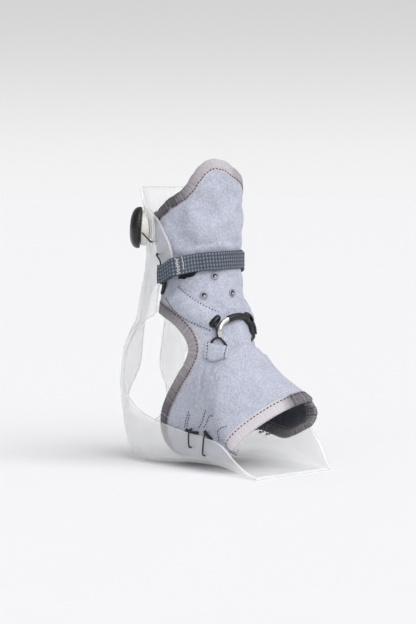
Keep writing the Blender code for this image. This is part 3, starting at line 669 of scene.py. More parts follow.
@dataclass(frozen=True)
class PolishedMetal(Finish):
    """Polished or plated metal: bright, with fine scratches that vary its gloss."""

    # Millimetres. Real scratches are hair-fine, too fine to show: drawn coarser.
    scratch: float = 0.6
    GLOSS: ClassVar[tuple] = (("Metallic", 1.0),)

    def paint(self, tree: bpy.types.NodeTree, shader: bpy.types.Node) -> None:
        """Vary the gloss by fine scratches.

        Args:
            tree: Node tree of the material.
            shader: Its main shader.
        """
        where = add_node(tree, "ShaderNodeTexCoord").outputs["Object"]
        noise = add_node(tree, "ShaderNodeTexNoise", {"Scale": 1 / (self.scratch * MM), "Detail": 4.0},
                         {"Vector": where})
        add_node(tree, "ShaderNodeMapRange", {"To Min": self.roughness * 0.6, "To Max": self.roughness * 1.6},
                 {"Value": noise.outputs["Fac"]}, {0: shader.inputs["Roughness"]})


# Knitted polyester over foam: matt grey-lavender with small light and dark flecks.
JERSEY = HeatherJersey("heather_polyester_jersey", "A6A9BC", 0.92)
# Stretch knit tape, folded and sewn: pinkish taupe, with painted shade that darkens it in its gathers and
# where less light falls, and painted light where light falls.
TAPE = KnitTape("knit_binding_tape", "C6C1C6", 0.7)
# Mercerised sewing thread: almost black and slightly shiny.
THREAD = Moulded("dark_sewing_thread", "2A262A", 0.5, 0.3, 0.02)
# White sewing thread of the strap's box seam.
WHITE_THREAD = Moulded("white_sewing_thread", "D8DADC", 0.5, 0.3, 0.02)
# Woven polyester webbing: slate blue, with painted light on its yarn tops.
WEBBING = RibbedWebbing("woven_polyester_webbing", "39414C", 0.6)
# Braided polyester lace: black with tiny painted highlights.
LACE = WovenYarn("braided_black_lace", "0E0E10", 0.5, "2C2C30", 0.7)
# Thermoformed polypropylene sheet: clear with a milky veil.
CLEAR = ClearPolypropylene("thermoformed_polypropylene", "F3F4F5", 0.22, 0.13, 0.6)
# Its trimmed and flamed edge, where the eye looks along the sheet.
CLEAR_EDGE = ClearPolypropylene("polypropylene_trim_edge", "FAFBFB", 0.2, 0.45, 0.8)
# Glass-filled nylon cap: black, satin.
BLACK_NYLON = Moulded("moulded_black_nylon", "0B0B0D", 0.26, 0.7, 0.02)
# Acetal base of the dial: cream and smooth.
CREAM_ACETAL = Moulded("moulded_cream_acetal", "DEDBD3", 0.4)
# Polished stainless steel.
STEEL = PolishedMetal("polished_stainless_steel", "CFCDC8", 0.2)
# Nickel-plated brass rings: greyer and duller than the wire.
NICKEL = PolishedMetal("nickel_plated_brass", "9A9AA0", 0.42)
# Soft rubber tubing: black with a dull gloss. Its black in the vent cups is painted shade inside the holes.
RUBBER = Moulded("black_rubber_tube", "141416", 0.45, 0.8, 0.03)
# Brushed polyester lining of the foam, dark slate and matt, made darker than the jersey as painted shade for
# the inside of the wrap.
LINING = HeatherJersey("lining_with_painted_shade", "3A3C48", 0.95, "34363F", "5A5D69", 1.4)
# Needle-punched hook tape under the strap: black with faint painted highlights.
HOOK_TAPE = WovenYarn("black_hook_tape", "0C0C0E", 0.9, "1E1E22", 1.0)
# Painted board, matt: an even pale ground.
FLOOR = Moulded("matt_white_board", "F7F7F8", 0.95, 40.0, 0.0)


class RingSurface:
    """Outer face of the padded wrap, from its table of rings."""

    def point(self, q: np.ndarray, v: np.ndarray) -> np.ndarray:
        """Points of the face.

        Args:
            q: Fractional ring numbers.
            v: Degrees from the front towards the near side.

        Returns:
            Points in metres from the cuff's back.
        """
        q, v = np.broadcast_arrays(np.asarray(q, dtype=float), np.asarray(v, dtype=float))
        ring = table_at(RING_TABLE, q)
        front, back, near, far = (ring[..., c:c + 3] * SIZES for c in (0, 3, 6, 9))
        centre = (near + far) / 2
        w = np.radians(v)
        cos, sin = np.cos(w)[..., None], np.sin(w)[..., None]
        ahead = centre + (front - centre) * cos + (near - far) / 2 * sin
        power = 2 / ring[..., 12:13]
        side = np.sign(sin) * np.abs(sin) ** power
        behind = centre + (back - centre) * np.abs(cos) ** power + (near - far) / 2 * side
        return np.where(cos > 0, ahead, behind)

    def normal(self, q: float, v: float) -> np.ndarray:
        """Outward normal at one place.

        Args:
            q: Fractional ring number.
            v: Angle in degrees.

        Returns:
            The unit normal.
        """
        low = min(q + 0.04, LAST_RING)
        along = self.point(low, v) - self.point(low - 0.08, v)
        normal = unit(np.cross(along, self.point(q, v + 2.0) - self.point(q, v - 2.0)))
        middle = (self.point(q, 90.0) + self.point(q, -90.0)) / 2
        return normal if normal @ (self.point(q, v) - middle) > 0 else -normal

    def slopes(self, q: np.ndarray, v: np.ndarray, step: float) -> tuple[np.ndarray, ...]:
        """Slopes and normals of the face at many places.

        Args:
            q: Fractional ring numbers.
            v: Angles in degrees.
            step: Ring numbers either way over which the slope is taken.

        Returns:
            The slope by ring number, the slope by degree and the outward normals.
        """
        low, high = np.maximum(q - step, 0.0), np.minimum(q + step, LAST_RING)
        by_q = (self.point(high, v) - self.point(low, v)) / (high - low)[:, None]
        by_v = self.point(q, v + 0.5) - self.point(q, v - 0.5)
        normal = unit(np.cross(by_q, by_v))
        middle = (self.point(q, 90.0) + self.point(q, -90.0)) / 2
        outward = np.sign(np.sum(normal * (self.point(q, v) - middle), axis=1))[:, None]
        return by_q, by_v, normal * outward

    def q_at_height(self, z: np.ndarray, v: np.ndarray) -> np.ndarray:
        """Ring numbers where the leg tube is at given heights.

        Args:
            z: Heights in metres.
            v: Angles in degrees.

        Returns:
            Fractional ring numbers.
        """
        low, high = np.zeros_like(v, dtype=float), np.full_like(v, 6.0, dtype=float)
        for _ in range(28):
            mid = (low + high) / 2
            above = self.point(mid, v)[..., 2] > z
            low, high = np.where(above, mid, low), np.where(above, high, mid)
        return (low + high) / 2

    def leg_q(self, height: float, v: float) -> float:
        """Ring number where the leg tube is at one height and angle."""
        return float(self.q_at_height(np.array([height]), np.array([v]))[0])

    def top_height(self, v: np.ndarray) -> np.ndarray:
        """Heights of the top edge."""
        return eased(TOP_TABLE, wrapped(PEAK_TURN - v)) / 100 * HEIGHT


class ShellSurface:
    """Outer face of the clear shell, from its table of gutter sections."""

    def point(self, q: np.ndarray, t: np.ndarray, far: bool) -> np.ndarray:
        """Points of one side of the face.

        Args:
            q: Fractional row numbers.
            t: From the spine (0) to the trim edge (1).
            far: Whether the side is the far one.

        Returns:
            Points in metres from the cuff's back.
        """
        q, t = np.broadcast_arrays(np.asarray(q, dtype=float), np.asarray(t, dtype=float))
        row = table_at(SHELL_TABLE, q)
        edge = 6 if far else 2
        back = np.stack((row[..., 0], row[..., 1]), -1) * SIZES[[0, 2]]
        rise = np.stack((row[..., edge], row[..., edge + 1]), -1) * SIZES[[0, 2]] - back
        deep = np.linalg.norm(rise, axis=-1)
        rise = rise / deep[..., None]
        corner = row[..., 5] / 100 * HALF_WIDTH
        flat = row[..., 4] / 100 * HALF_WIDTH - corner
        arc = corner * np.arccos(np.maximum(1 - deep / corner, 0.0))
        s = t * (flat + arc + np.maximum(deep - corner, 0.0))
        w = np.clip((s - flat) / corner, 0.0, arc / corner)
        beyond = np.maximum(s - flat - arc, 0.0)
        across = np.minimum(s, flat) + corner * np.sin(w)
        up = corner * (1 - np.cos(w)) + beyond
        out = np.empty(q.shape + (3,))
        out[..., 0] = back[..., 0] + rise[..., 0] * up
        out[..., 2] = back[..., 1] + rise[..., 1] * up
        out[..., 1] = across if far else -across
        return out

    def near_to(self, x: float, z: float, far: bool = False) -> np.ndarray:
        """Point of a side wall nearest to a place seen from the side.

        Args:
            x: Place along the foot in percent.
            z: Its height in percent.
            far: Whether the wall is the far one.

        Returns:
            The point in metres.
        """
        q, t = np.meshgrid(np.linspace(0, len(SHELL_TABLE) - 1, 1401), np.linspace(0.2, 1.0, 161))
        points = self.point(q, t, far).reshape(-1, 3)
        off = np.hypot(points[:, 0] - x * SIZES[0], points[:, 2] - z * SIZES[2])
        return points[off.argmin()]


RINGS = RingSurface()
SHELL = ShellSurface()
# Width and height of the rims, wall of the wrap, and height of the patches' seat.
RIM_WIDTH, RIM_PROUD, WALL, PATCH_LIFT = 8.6 * MM, 0.45 * MM, 3.4 * MM, 0.9 * MM
HEEL_LOOP = smooth_loop(HEEL_TABLE, 4) * SIZES[[0, 2]]
SOLE_LOOP = np.array(SOLE_TABLE) * SIZES[[0, 2]]
SOLE_SIDE = SOLE_NEAR / 100 * HALF_WIDTH


def heel_clear(points: np.ndarray) -> np.ndarray:
    """Distance outside the heel opening, seen from the side."""
    return -signed_depth(points[:, [0, 2]], HEEL_LOOP)


def sole_clear(points: np.ndarray) -> np.ndarray:
    """Distance outside the open sole."""
    return -np.minimum(signed_depth(points[:, [0, 2]], SOLE_LOOP), points[:, 1] - SOLE_SIDE)


@dataclass
class Trimmed:
    """A grid over a surface, cut along the line where a field is zero."""

    at: np.ndarray
    points: np.ndarray
    faces: list
    field_values: np.ndarray

    def rim(self) -> list[np.ndarray]:
        """Chains of point numbers along the cut, the longest first.

        Returns:
            The chains.
        """
        count: dict[tuple[int, int], int] = {}
        for face in self.faces:
            for a, b in zip(face, face[1:] + face[:1]):
                key = (min(a, b), max(a, b))
                count[key] = count.get(key, 0) + 1
        near = np.abs(self.field_values) < 1e-9
        joined: dict[int, list[int]] = {}
        for (a, b), n in count.items():
            if n == 1 and near[a] and near[b]:
                joined.setdefault(a, []).append(b)
                joined.setdefault(b, []).append(a)
        chains, left = [], set(joined)
        while left:
            ends = [p for p in left if len(joined[p]) == 1]
            here = min(ends) if ends else min(left)
            chain = [here]
            left.discard(here)
            while True:
                onward = [p for p in joined[here] if p in left]
                if not onward:
                    break
                here = onward[0]
                chain.append(here)
                left.discard(here)
            chains.append(np.array(chain))
        return sorted(chains, key=len, reverse=True)


def trim_grid(across: np.ndarray, along: np.ndarray, surface: Callable, clear: Callable,
              closed: bool) -> Trimmed:
    """Cut a grid of surface parameters along the line where a field is zero.

    Args:
        across: First parameter at each grid point, one row a line.
        along: Second parameter at each grid point, in degrees if closed.
        surface: Points of the surface from the two parameters.
        clear: Field at points: kept where it is above zero.
        closed: Whether the columns close on themselves.

    Returns:
        The kept part, its cut edge on the zero line.
    """
    rows, cols = across.shape
    at = np.stack((across.ravel(), along.ravel()), -1)
    value = clear(surface(at[:, 0], at[:, 1]))
    index = np.arange(rows * cols).reshape(rows, cols)
    edges = np.concatenate((np.stack((index[:-1].ravel(), index[1:].ravel()), -1),
                            np.stack((index[:, :-1].ravel(), index[:, 1:].ravel()), -1)))
    if closed:
        edges = np.concatenate((edges, np.stack((index[:, -1], index[:, 0]), -1)))

    def crossings(pairs: np.ndarray) -> tuple[np.ndarray, np.ndarray]:
        """Find the zero on each edge.

        Args:
            pairs: Point numbers of the edges' ends.

        Returns:
            Its share of each edge, and its two parameters.
        """
        a, b = at[pairs[:, 0]].copy(), at[pairs[:, 1]].copy()
        if closed:
            b[:, 1] += np.round((a[:, 1] - b[:, 1]) / 360.0) * 360.0
        low, high = np.zeros(len(pairs)), np.ones(len(pairs))
        sign = value[pairs[:, 0]] > 0
        for _ in range(12):
            mid = (low + high) / 2
            where = a + (b - a) * mid[:, None]
            same = (clear(surface(where[:, 0], where[:, 1])) > 0) == sign
            low, high = np.where(same, mid, low), np.where(same, high, mid)
        share = (low + high) / 2
        return share, a + (b - a) * share[:, None]

    cut = edges[value[edges[:, 0]] * value[edges[:, 1]] < 0]
    share, where = crossings(cut)
    nearest: dict[int, tuple[float, int]] = {}
    for k, (a, b) in enumerate(cut):
        point, off = (a, share[k]) if share[k] < 0.5 else (b, 1 - share[k])
        if off < 0.3 and off < nearest.get(point, (1.0, 0))[0]:
            nearest[point] = (off, k)
    for point, (_, k) in nearest.items():
        at[point], value[point] = where[k], 0.0
    cut = edges[value[edges[:, 0]] * value[edges[:, 1]] < 0]
    share, where = crossings(cut)
    extra = {(min(a, b), max(a, b)): len(at) + k for k, (a, b) in enumerate(cut)}
    at = np.concatenate((at, where))
    value = np.concatenate((value, np.zeros(len(where))))
    faces = []
    for face in grid_faces(rows, cols, closed):
        signs = [value[p] for p in face]
        if max(signs) <= 0:
            continue
        kept = []
        for k, p in enumerate(face):
            n = face[(k + 1) % 4]
            if value[p] >= 0:
                kept.append(p)
            if value[p] * value[n] < 0:
                kept.append(extra[(min(p, n), max(p, n))])
        if len(kept) > 2:
            faces.append(kept)
    used = sorted({p for face in faces for p in face})
    renamed = {p: k for k, p in enumerate(used)}
    at, value = at[used], value[used]
    return Trimmed(at, surface(at[:, 0], at[:, 1]), [[renamed[p] for p in face] for face in faces], value)


@dataclass
class Walked:
    """A band of the wrap's face beside a line: points and normals, one row a distance from the line."""

    points: np.ndarray
    normals: np.ndarray
    inward: np.ndarray
    closed: bool
    wide: float

    def lifted(self, row: float, lift: np.ndarray | float) -> np.ndarray:
        """Line at a fractional row of the band, lifted off the face.

        Args:
            row: Number of the row.
            lift: Height off the face in metres, one for all or one a point.

        Returns:
            The line's points.
        """
        k = min(int(row), len(self.points) - 2)
        t = row - k
        points = self.points[k] * (1 - t) + self.points[k + 1] * t
        normals = unit(self.normals[k] * (1 - t) + self.normals[k + 1] * t)
        return points + normals * np.reshape(lift, (-1, 1))


def walk(q: np.ndarray, v: np.ndarray, closed: bool, away: Sequence, gap: float = 0.9 * MM,
         wide: float = 8.6 * MM, easing: int = 3, steps: int = 10) -> Walked:
    """Walk over the wrap's face at right angles to a line on it.

    Args:
        q: Ring numbers of the line.
        v: Its angles in degrees, unwrapped.
        closed: Whether the line is a loop.
        away: Point in metres that the walk leads away from.
        gap: Distance between points of the line.
        wide: Width of the band.
        easing: How many times the line is evened out.
        steps: Number of equal steps over the band's width.

    Returns:
        The band beside the line.
    """
    turn = 360.0 * round((v[-1] - v[0]) / 360.0) if closed else 0.0
    line = np.column_stack((RINGS.point(q, v), q, v))
    if closed:
        line = np.concatenate((line, [[*line[0, :4], line[0, 4] + turn]]))
    run = lengths(line[:, :3])
    at = np.linspace(0.0, run[-1], max(int(run[-1] / gap), 8) + 1)
    at = at[:-1] if closed else at
    q, v = (np.interp(at, run, line[:, c]) for c in (3, 4))
    for _ in range(easing):
        if closed:
            before, after = np.roll(v, 1), np.roll(v, -1)
            before[0] -= turn
            after[-1] += turn
            q = (np.roll(q, 1) + 2 * q + np.roll(q, -1)) / 4
            v = (before + 2 * v + after) / 4
        else:
            q[1:-1] = (q[:-2] + 2 * q[1:-1] + q[2:]) / 4
            v[1:-1] = (v[:-2] + 2 * v[1:-1] + v[2:]) / 4
    points, normals, heading = [], [], None
    for _ in range(steps + 1):
        here = RINGS.point(q, v)
        by_q, by_v, normal = RINGS.slopes(q, v, 0.01)
        if heading is None:
            heading = unit(np.cross(normal, directions(here, closed)))
            heading *= np.sign(np.sum(heading * (here - np.asarray(away))))
            inward = heading
        heading = unit(heading - np.sum(heading * normal, axis=1)[:, None] * normal)
        points.append(here)
        normals.append(normal)
        stride = heading * wide / steps
        aa, ab, bb = (np.sum(m * n, axis=1) for m, n in ((by_q, by_q), (by_q, by_v), (by_v, by_v)))
        sa, sb = np.sum(stride * by_q, axis=1), np.sum(stride * by_v, axis=1)
        det = np.maximum(aa * bb - ab * ab, 1e-18)
        q = q + (sa * bb - sb * ab) / det
        v = v + (sb * aa - sa * ab) / det
    return Walked(np.array(points), np.array(normals), inward, closed, wide)


def stitch_mesh(runs: Sequence, pitch: float, length: float, radius: float) -> tuple[np.ndarray, list]:
    """Separate thread stitches along lines.

    Args:
        runs: Pairs of a line's points and whether it is a loop.
        pitch: Distance from one stitch to the next in metres.
        length: Length of a stitch.
        radius: Radius of the thread.

    Returns:
        Points and faces of all the stitches.
    """
    sides, shape = 6, ((-1.0, 0.0), (-0.8, 0.75), (-0.3, 1.0), (0.3, 1.0), (0.8, 0.75), (1.0, 0.0))
    last = (len(shape) - 1) * sides
    caps = [tuple(reversed(range(sides))), tuple(range(last, last + sides))]
    stitch = grid_faces(len(shape), sides, True) + caps
    points, faces = [], []
    for line, closed in runs:
        path = resample(line, pitch, closed)
        for p, way in zip(path, directions(path, closed)):
            side = unit(np.cross(way, (0.3, 0.5, 0.8)))
            up = np.cross(way, side)
            base = len(points)
            for along, wide in shape:
                for k in range(sides):
                    w = 2 * math.pi * k / sides
                    points.append(p + way * along * length / 2
                                  + (side * math.cos(w) + up * math.sin(w)) * radius * max(wide, 0.15))
            faces += [tuple(base + p for p in face) for face in stitch]
    return np.array(points), faces


def turned_mesh(profile: Sequence, sides: int,
                ripple_height: Callable | None = None) -> tuple[np.ndarray, list]:
    """Spin a closed half-profile of (radius, height) points round local Z.

    Args:
        profile: Points from one end of the axis to the other, or a closed ring.
        sides: Number of facets.
        ripple_height: Factor on the radius from the angle and the point's number.

    Returns:
        Points and faces.
    """
    points = []
    for k, (r, h) in enumerate(profile):
        for s in range(sides):
            w = 2 * math.pi * s / sides
            wide = r * (ripple_height(w, k) if ripple_height else 1.0)
            points.append((wide * math.cos(w), wide * math.sin(w), h))
    return np.array(points), grid_faces(len(profile), sides, True, profile[0][0] > 0)


def stood(points: np.ndarray, at: np.ndarray, axis: np.ndarray) -> np.ndarray:
    """Turn points from local Z to an axis and set them at a place."""
    turn = np.array(Vector(axis).to_track_quat("Z", "Y").to_matrix())
    return points @ turn.T + at


def capped(grid: np.ndarray) -> np.ndarray:
    """Grid of points round a strip, drawn to a point at both of its ends."""
    ends = grid.mean(axis=0)[None, [0, -1]].repeat(len(grid), 0)
    return np.concatenate((ends[:, :1], grid, ends[:, 1:]), axis=1)


def mark(obj: bpy.types.Object, name: str, values: np.ndarray) -> None:
    """Give each point of a mesh a number that the finish reads."""
    made = obj.data.attributes.new(name, "FLOAT", "POINT")
    made.data.foreach_set("value", values.ravel().astype(np.float32))


def weld(obj: bpy.types.Object) -> bpy.types.Object:
    """Merge an object's doubled points and turn its faces outwards.

    Args:
        obj: The object.

    Returns:
        The same object.
    """
    work = bmesh.new()
    work.from_mesh(obj.data)
    bmesh.ops.remove_doubles(work, verts=work.verts, dist=1e-6)
    bmesh.ops.recalc_face_normals(work, faces=work.faces)
    work.to_mesh(obj.data)
    work.free()
    obj.data.shade_smooth()
    return obj


@dataclass
class ClearShell:
    """Gutter of clear polypropylene with its heel window and cord holes."""

    wall: float = 2.5 * MM
    rows: int = 12
    columns: int = 46
    hole: float = 1.2 * MM

    def face(self, q: np.ndarray, u: np.ndarray) -> np.ndarray:
        """Points of the outer face; the second parameter runs from the near trim to the far one."""
        near, far = SHELL.point(q, np.abs(u), False), SHELL.point(q, np.abs(u), True)
        return np.where((u > 0)[..., None], far, near)

    def clear(self, points: np.ndarray) -> np.ndarray:
        """Distance outside the heel window.

        Args:
            points: Points in metres.

        Returns:
            Distances, below zero in the window.
        """
        half = [(y / 100 * HALF_WIDTH, z / 100 * HEIGHT) for z, y in WINDOW_TABLE]
        loop = smooth_loop(half + [(-y, z) for y, z in half[-2:0:-1]], 6)
        depth = signed_depth(points[:, 1:], loop)
        return -np.minimum(depth, 0.1 * REACH - points[:, 0])

    def drills(self) -> bpy.types.Object:
        """Return one cutter with a pin at each hole.

        Returns:
            The cutter.
        """
        points, faces = [], []
        holes = [(*hole, False) for hole in LACE_HOLES] + [(*hole, far) for _, far, hole, _ in TIES]
        for x, z, far in holes:
            at, side = SHELL.near_to(x, z, far), (1.0 if far else -1.0)
            pin, quads = turned_mesh(((0, -4 * self.wall), (self.hole, -4 * self.wall),
                                      (self.hole, 2 * self.wall), (0, 2 * self.wall)), 20)
            faces += [tuple(p + len(points) for p in quad) for quad in quads]
            points += list(stood(pin, at, np.array((0, side, 0))))
        mesh = bpy.data.meshes.new("drills")
        mesh.from_pydata((np.array(points) - ORIGIN).tolist(), [], faces)
        obj = bpy.data.objects.new("drills", mesh)
        bpy.context.scene.collection.objects.link(obj)
        return weld(obj)

    def build(self) -> None:
        """Build the shell in place of its solid."""
        q = np.linspace(0, len(SHELL_TABLE) - 1, (len(SHELL_TABLE) - 1) * self.rows + 1)
        u = np.linspace(-1, 1, 2 * self.columns + 1)
        qq, uu = np.meshgrid(q, u, indexing="ij")
        kept = trim_grid(qq, uu, self.face, self.clear, False)
        shell = mesh_piece("clear_shell", kept.points, kept.faces, CLEAR)
        weld(shell)
        middle = sum((v.co for v in shell.data.vertices), Vector()) / len(shell.data.vertices)
        face = shell.data.polygons[len(shell.data.polygons) // 3]
        if (face.center - middle).dot(face.normal) < 0:
            shell.data.flip_normals()
        shell.data.materials.append(CLEAR_EDGE.material())
        modify(shell, "SOLIDIFY", thickness=self.wall, offset=-1.0, use_even_offset=True,
               use_quality_normals=True, material_offset_rim=1)
        drills = self.drills()
        modify(shell, "BOOLEAN", object=drills, solver="EXACT", operation="DIFFERENCE")
        settle(shell)
        bpy.data.objects.remove(drills, do_unlink=True)
        modify(shell, "BEVEL", width=0.5 * MM, segments=2, limit_method="ANGLE", angle_limit=math.radians(50))
        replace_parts(shell, "shell")


@dataclass
class PaddedWrap:
    """Foam-backed jersey body of the wrap."""

    columns: int = 104
    rows: int = 112
    tuck: float = 3.2 * MM
    cap: float = 1.6 * MM
    hem: float = 9.0 * MM
    mouth: Walked | None = None
    frames: int = 20
    # Settings of the cloth: stiff, foam-backed, cut a little long and puffed from inside.
    cloth: tuple = (("quality", 8), ("mass", 0.15), ("tension_stiffness", 12.0),
                    ("compression_stiffness", 12.0), ("shear_stiffness", 4.0), ("bending_stiffness", 0.4),
                    ("shrink_min", -0.035), ("use_pressure", True), ("uniform_pressure_force", 0.6),
                    ("vertex_group_mass", "sewn"))
    # Creases that fan out under the tab: how fast each drifts sideways, and its height in millimetres.
    fan: tuple = ((0.0, -1.5), (-9.0, 1.2), (10.0, 1.1), (-19.0, -0.9), (21.0, -0.6))

    def far_loop(self) -> np.ndarray:
        """Outline, seen from the side, of what lies beyond the far end of the mouth.

        Returns:
            The outline's points.
        """
        row = self.mouth.points[3]
        line = row[np.argmax(row[:, 1] > 0.2 * HALF_WIDTH):][:, [0, 2]]
        first, last = line[0], line[-1]
        return np.concatenate((line, [(last[0], -0.05), (0.3, -0.05), (0.3, first[1] + 0.05),
                                      (first[0], first[1] + 0.05)]))

    def clear(self, points: np.ndarray) -> np.ndarray:
        """Distance outside the openings, less the part tucked into the binding.

        Args:
            points: Points in metres.

        Returns:
            Distances, above zero where there is fabric.
        """
        beyond = -signed_depth(points[:, [0, 2]], self.far_loop())
        far = np.where(points[:, 1] > 0.2 * HALF_WIDTH, beyond, 1.0)
        turned_in = (self.hem * part_way(-points[:, 1], -0.1 * HALF_WIDTH, 0.3 * HALF_WIDTH)
                     * part_way(-points[:, 0], -0.74 * REACH, 0.08 * REACH))
        sole = sole_clear(points) - 0.2 * MM + turned_in
        return np.minimum(np.minimum(heel_clear(points) - self.tuck, sole), far)

    def grid(self) -> tuple[np.ndarray, np.ndarray]:
        """Ring numbers and angles of the grid, from the top edge to the mouth.

        Returns:
            Both, one row a ring.
        """
        v = 360.0 * np.arange(self.columns) / self.columns
        top = RINGS.q_at_height(RINGS.top_height(v) - self.tuck, v)
        down = np.linspace(0.0, 1.0, self.rows)[:, None]
        last = LAST_RING - 0.1
        return top + (last - top) * down, np.broadcast_to(v, (self.rows, self.columns)).copy()

    def off_strap(self, points: np.ndarray, v: np.ndarray) -> np.ndarray:
        """Heights over or under the strap's middle, in percent of the height of the wrap's frame."""
        return np.abs(points[:, 2] / HEIGHT * 100 - eased(STRAP_TABLE, np.clip(v, -90, 90)))

    def held(self, points: np.ndarray, at: np.ndarray) -> np.ndarray:
        """How firmly each point is held: fully at the seams, the strap and the patches.

        Args:
            points: Points of the fabric.
            at: Their ring numbers and angles.

        Returns:
            Weights from 0 to 1.
        """
        v = wrapped(at[:, 1])
        edge = np.minimum(heel_clear(points) / 1.45, sole_clear(points)) / RIM_WIDTH
        top = (RINGS.top_height(v) - points[:, 2]) / (RIM_WIDTH * 1.1)
        rim = np.minimum(np.minimum(edge, top), (LAST_RING - at[:, 0]) / 1.1)
        hold = 1.0 - np.clip((rim - 1.05) / 0.8, 0.0, 1.0)
        for _, turn, level in Eyelets.places:
            spot = on_wrap(RINGS.leg_q(level / 100 * HEIGHT, turn), turn, 0.0)
            off = np.linalg.norm(points - spot, axis=1)
            hold = np.maximum(hold, np.clip(2.0 - off / (5.5 * MM), 0.0, 1.0))
        low = np.hypot(at[:, 0] - 7.9, (np.abs(v) - 93.0) / 14.0)
        hold = np.maximum(hold, np.clip(2.0 - low / 0.8, 0.0, 1.0))
        hold = np.maximum(hold, np.clip(1.6 - self.off_strap(points, v) / 3.6, 0.0, 1.0))
        for turn in (1.0, -1.0):
            for corners in (SLEEVE, TAB):
                loop = np.array([(q * 12.0, a * turn) for q, a in corners])
                inside = signed_depth(np.column_stack((at[:, 0] * 12.0, v)), loop)
                hold = np.maximum(hold, np.clip(1.0 + inside / 5.0, 0.0, 1.0))
        return hold ** 0.7

    def folds(self, points: np.ndarray, at: np.ndarray, normals: np.ndarray, free: np.ndarray) -> np.ndarray:
        """Points moved into the soft folds that the foam takes as it is pulled round the ankle.

        Args:
            points: Points of the fabric.
            at: Their ring numbers and angles.
            normals: Outward normals.
            free: How freely each point may move, from 0 to 1.

        Returns:
            The moved points.
        """
        q, v = at[:, 0], wrapped(at[:, 1])
        ankle = np.exp(-((q - 5.6) / 0.9) ** 2)
        soft = 0.45 * np.sin(q * 5.3 + v * 0.045) * np.sin(v * 0.071 + 1.3 + 0.8 * np.sin(q * 1.7))
        crease = -0.75 * ankle * np.exp(-((v - 66 + 9 * (q - 5.6)) / 8.0) ** 2)
        fan = np.exp(-((q - 7.2) / 0.42) ** 2)
        for side, height in self.fan:
            off = v - 54.5 - 44 * (q - 6.86) - side * (q - 6.0)
            crease = crease + height * fan * np.exp(-(off / 4.2) ** 2)
        pleat = -0.55 * np.exp(-((q - 7.9) / 0.5) ** 2) * (0.5 + 0.5 * np.cos(v * 0.35)) ** 3
        leg = 0.3 * np.sin(v * 0.16 + 0.5 * np.sin(points[:, 2] * 90)) * np.clip(1 - q / 5, 0, 1)
        pressed = (-1.1 * np.clip(1.9 - self.off_strap(points, v) / 2.6, 0.0, 1.0)
                   * np.clip((58.0 - np.abs(v)) / 12.0, 0.0, 1.0))
        height = ((soft + crease + pleat + leg) * free + pressed) * MM
        return points + normals * height[:, None]

    def settle_cloth(self, obj: bpy.types.Object, hold: np.ndarray) -> None:
        """Let the fabric, cut a little too long, settle between its seams.

        Args:
            obj: Single layer of fabric.
            hold: Weights from 0 to 1 of how firmly each point is held.
        """
        start = np.array([v.co[:] for v in obj.data.vertices])
        group = obj.vertex_groups.new(name="sewn")
        for k, weight in enumerate(hold):
            group.add([k], float(weight), "REPLACE")
        cloth = obj.modifiers.new("settle", "CLOTH")
        for key, value in self.cloth:
            setattr(cloth.settings, key, value)
        cloth.settings.effector_weights.gravity = 0.0
        cloth.collision_settings.use_collision = False
        cloth.point_cache.frame_end = self.frames
        for frame_number in range(1, self.frames + 1):
            bpy.context.scene.frame_set(frame_number)
        deps = bpy.context.evaluated_depsgraph_get()
        ended = np.array([v.co[:] for v in obj.evaluated_get(deps).data.vertices])
        moved = np.nan_to_num(ended - start)
        long = np.linalg.norm(moved, axis=1, keepdims=True)
        moved *= np.minimum(1.0, self.cap / np.maximum(long, 1e-9))
        LOG.info("cloth moved %.2f mm at most", float(long.max()) / MM)
        obj.modifiers.remove(cloth)
        obj.vertex_groups.clear()
        bpy.context.scene.frame_set(1)
        obj.data.vertices.foreach_set("co", (start + moved).ravel())

    def build(self) -> None:
        """Build the padded body in place of its solid."""
        q, v = self.grid()
        kept = trim_grid(q, v, RINGS.point, self.clear, True)
        normals = RINGS.slopes(kept.at[:, 0], kept.at[:, 1], 0.02)[2]
        hold = self.held(kept.points, kept.at)
        points = self.folds(kept.points, kept.at, normals, 1 - hold)
        first = kept.faces[len(kept.faces) // 2]
        a, b, c = (kept.points[p] for p in first[:3])
        flip = float(np.cross(b - a, c - a) @ normals[first[0]]) < 0
        obj = mesh_piece("padded_wrap", points, [tuple(f) for f in kept.faces], JERSEY, flip=flip)
        self.settle_cloth(obj, hold)
        # The inner face takes the dark lining, which is partly painted shade inside the wrap.
        obj.data.materials.append(LINING.material())
        modify(obj, "SOLIDIFY", thickness=WALL, offset=-1.0, use_quality_normals=True, material_offset=1)
        modify(obj, "SUBSURF", levels=1, render_levels=1)
        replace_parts(obj, "wrap")


# Cross-section of the folded tape: share of its width from the edge, and how far it stands proud.
TAPE_PROFILE = ((1.0, -0.8), (0.97, 0.4), (0.91, 0.85), (0.83, 0.7), (0.77, 0.1), (0.7, 0.75), (0.58, 1.1),
                (0.4, 1.2))


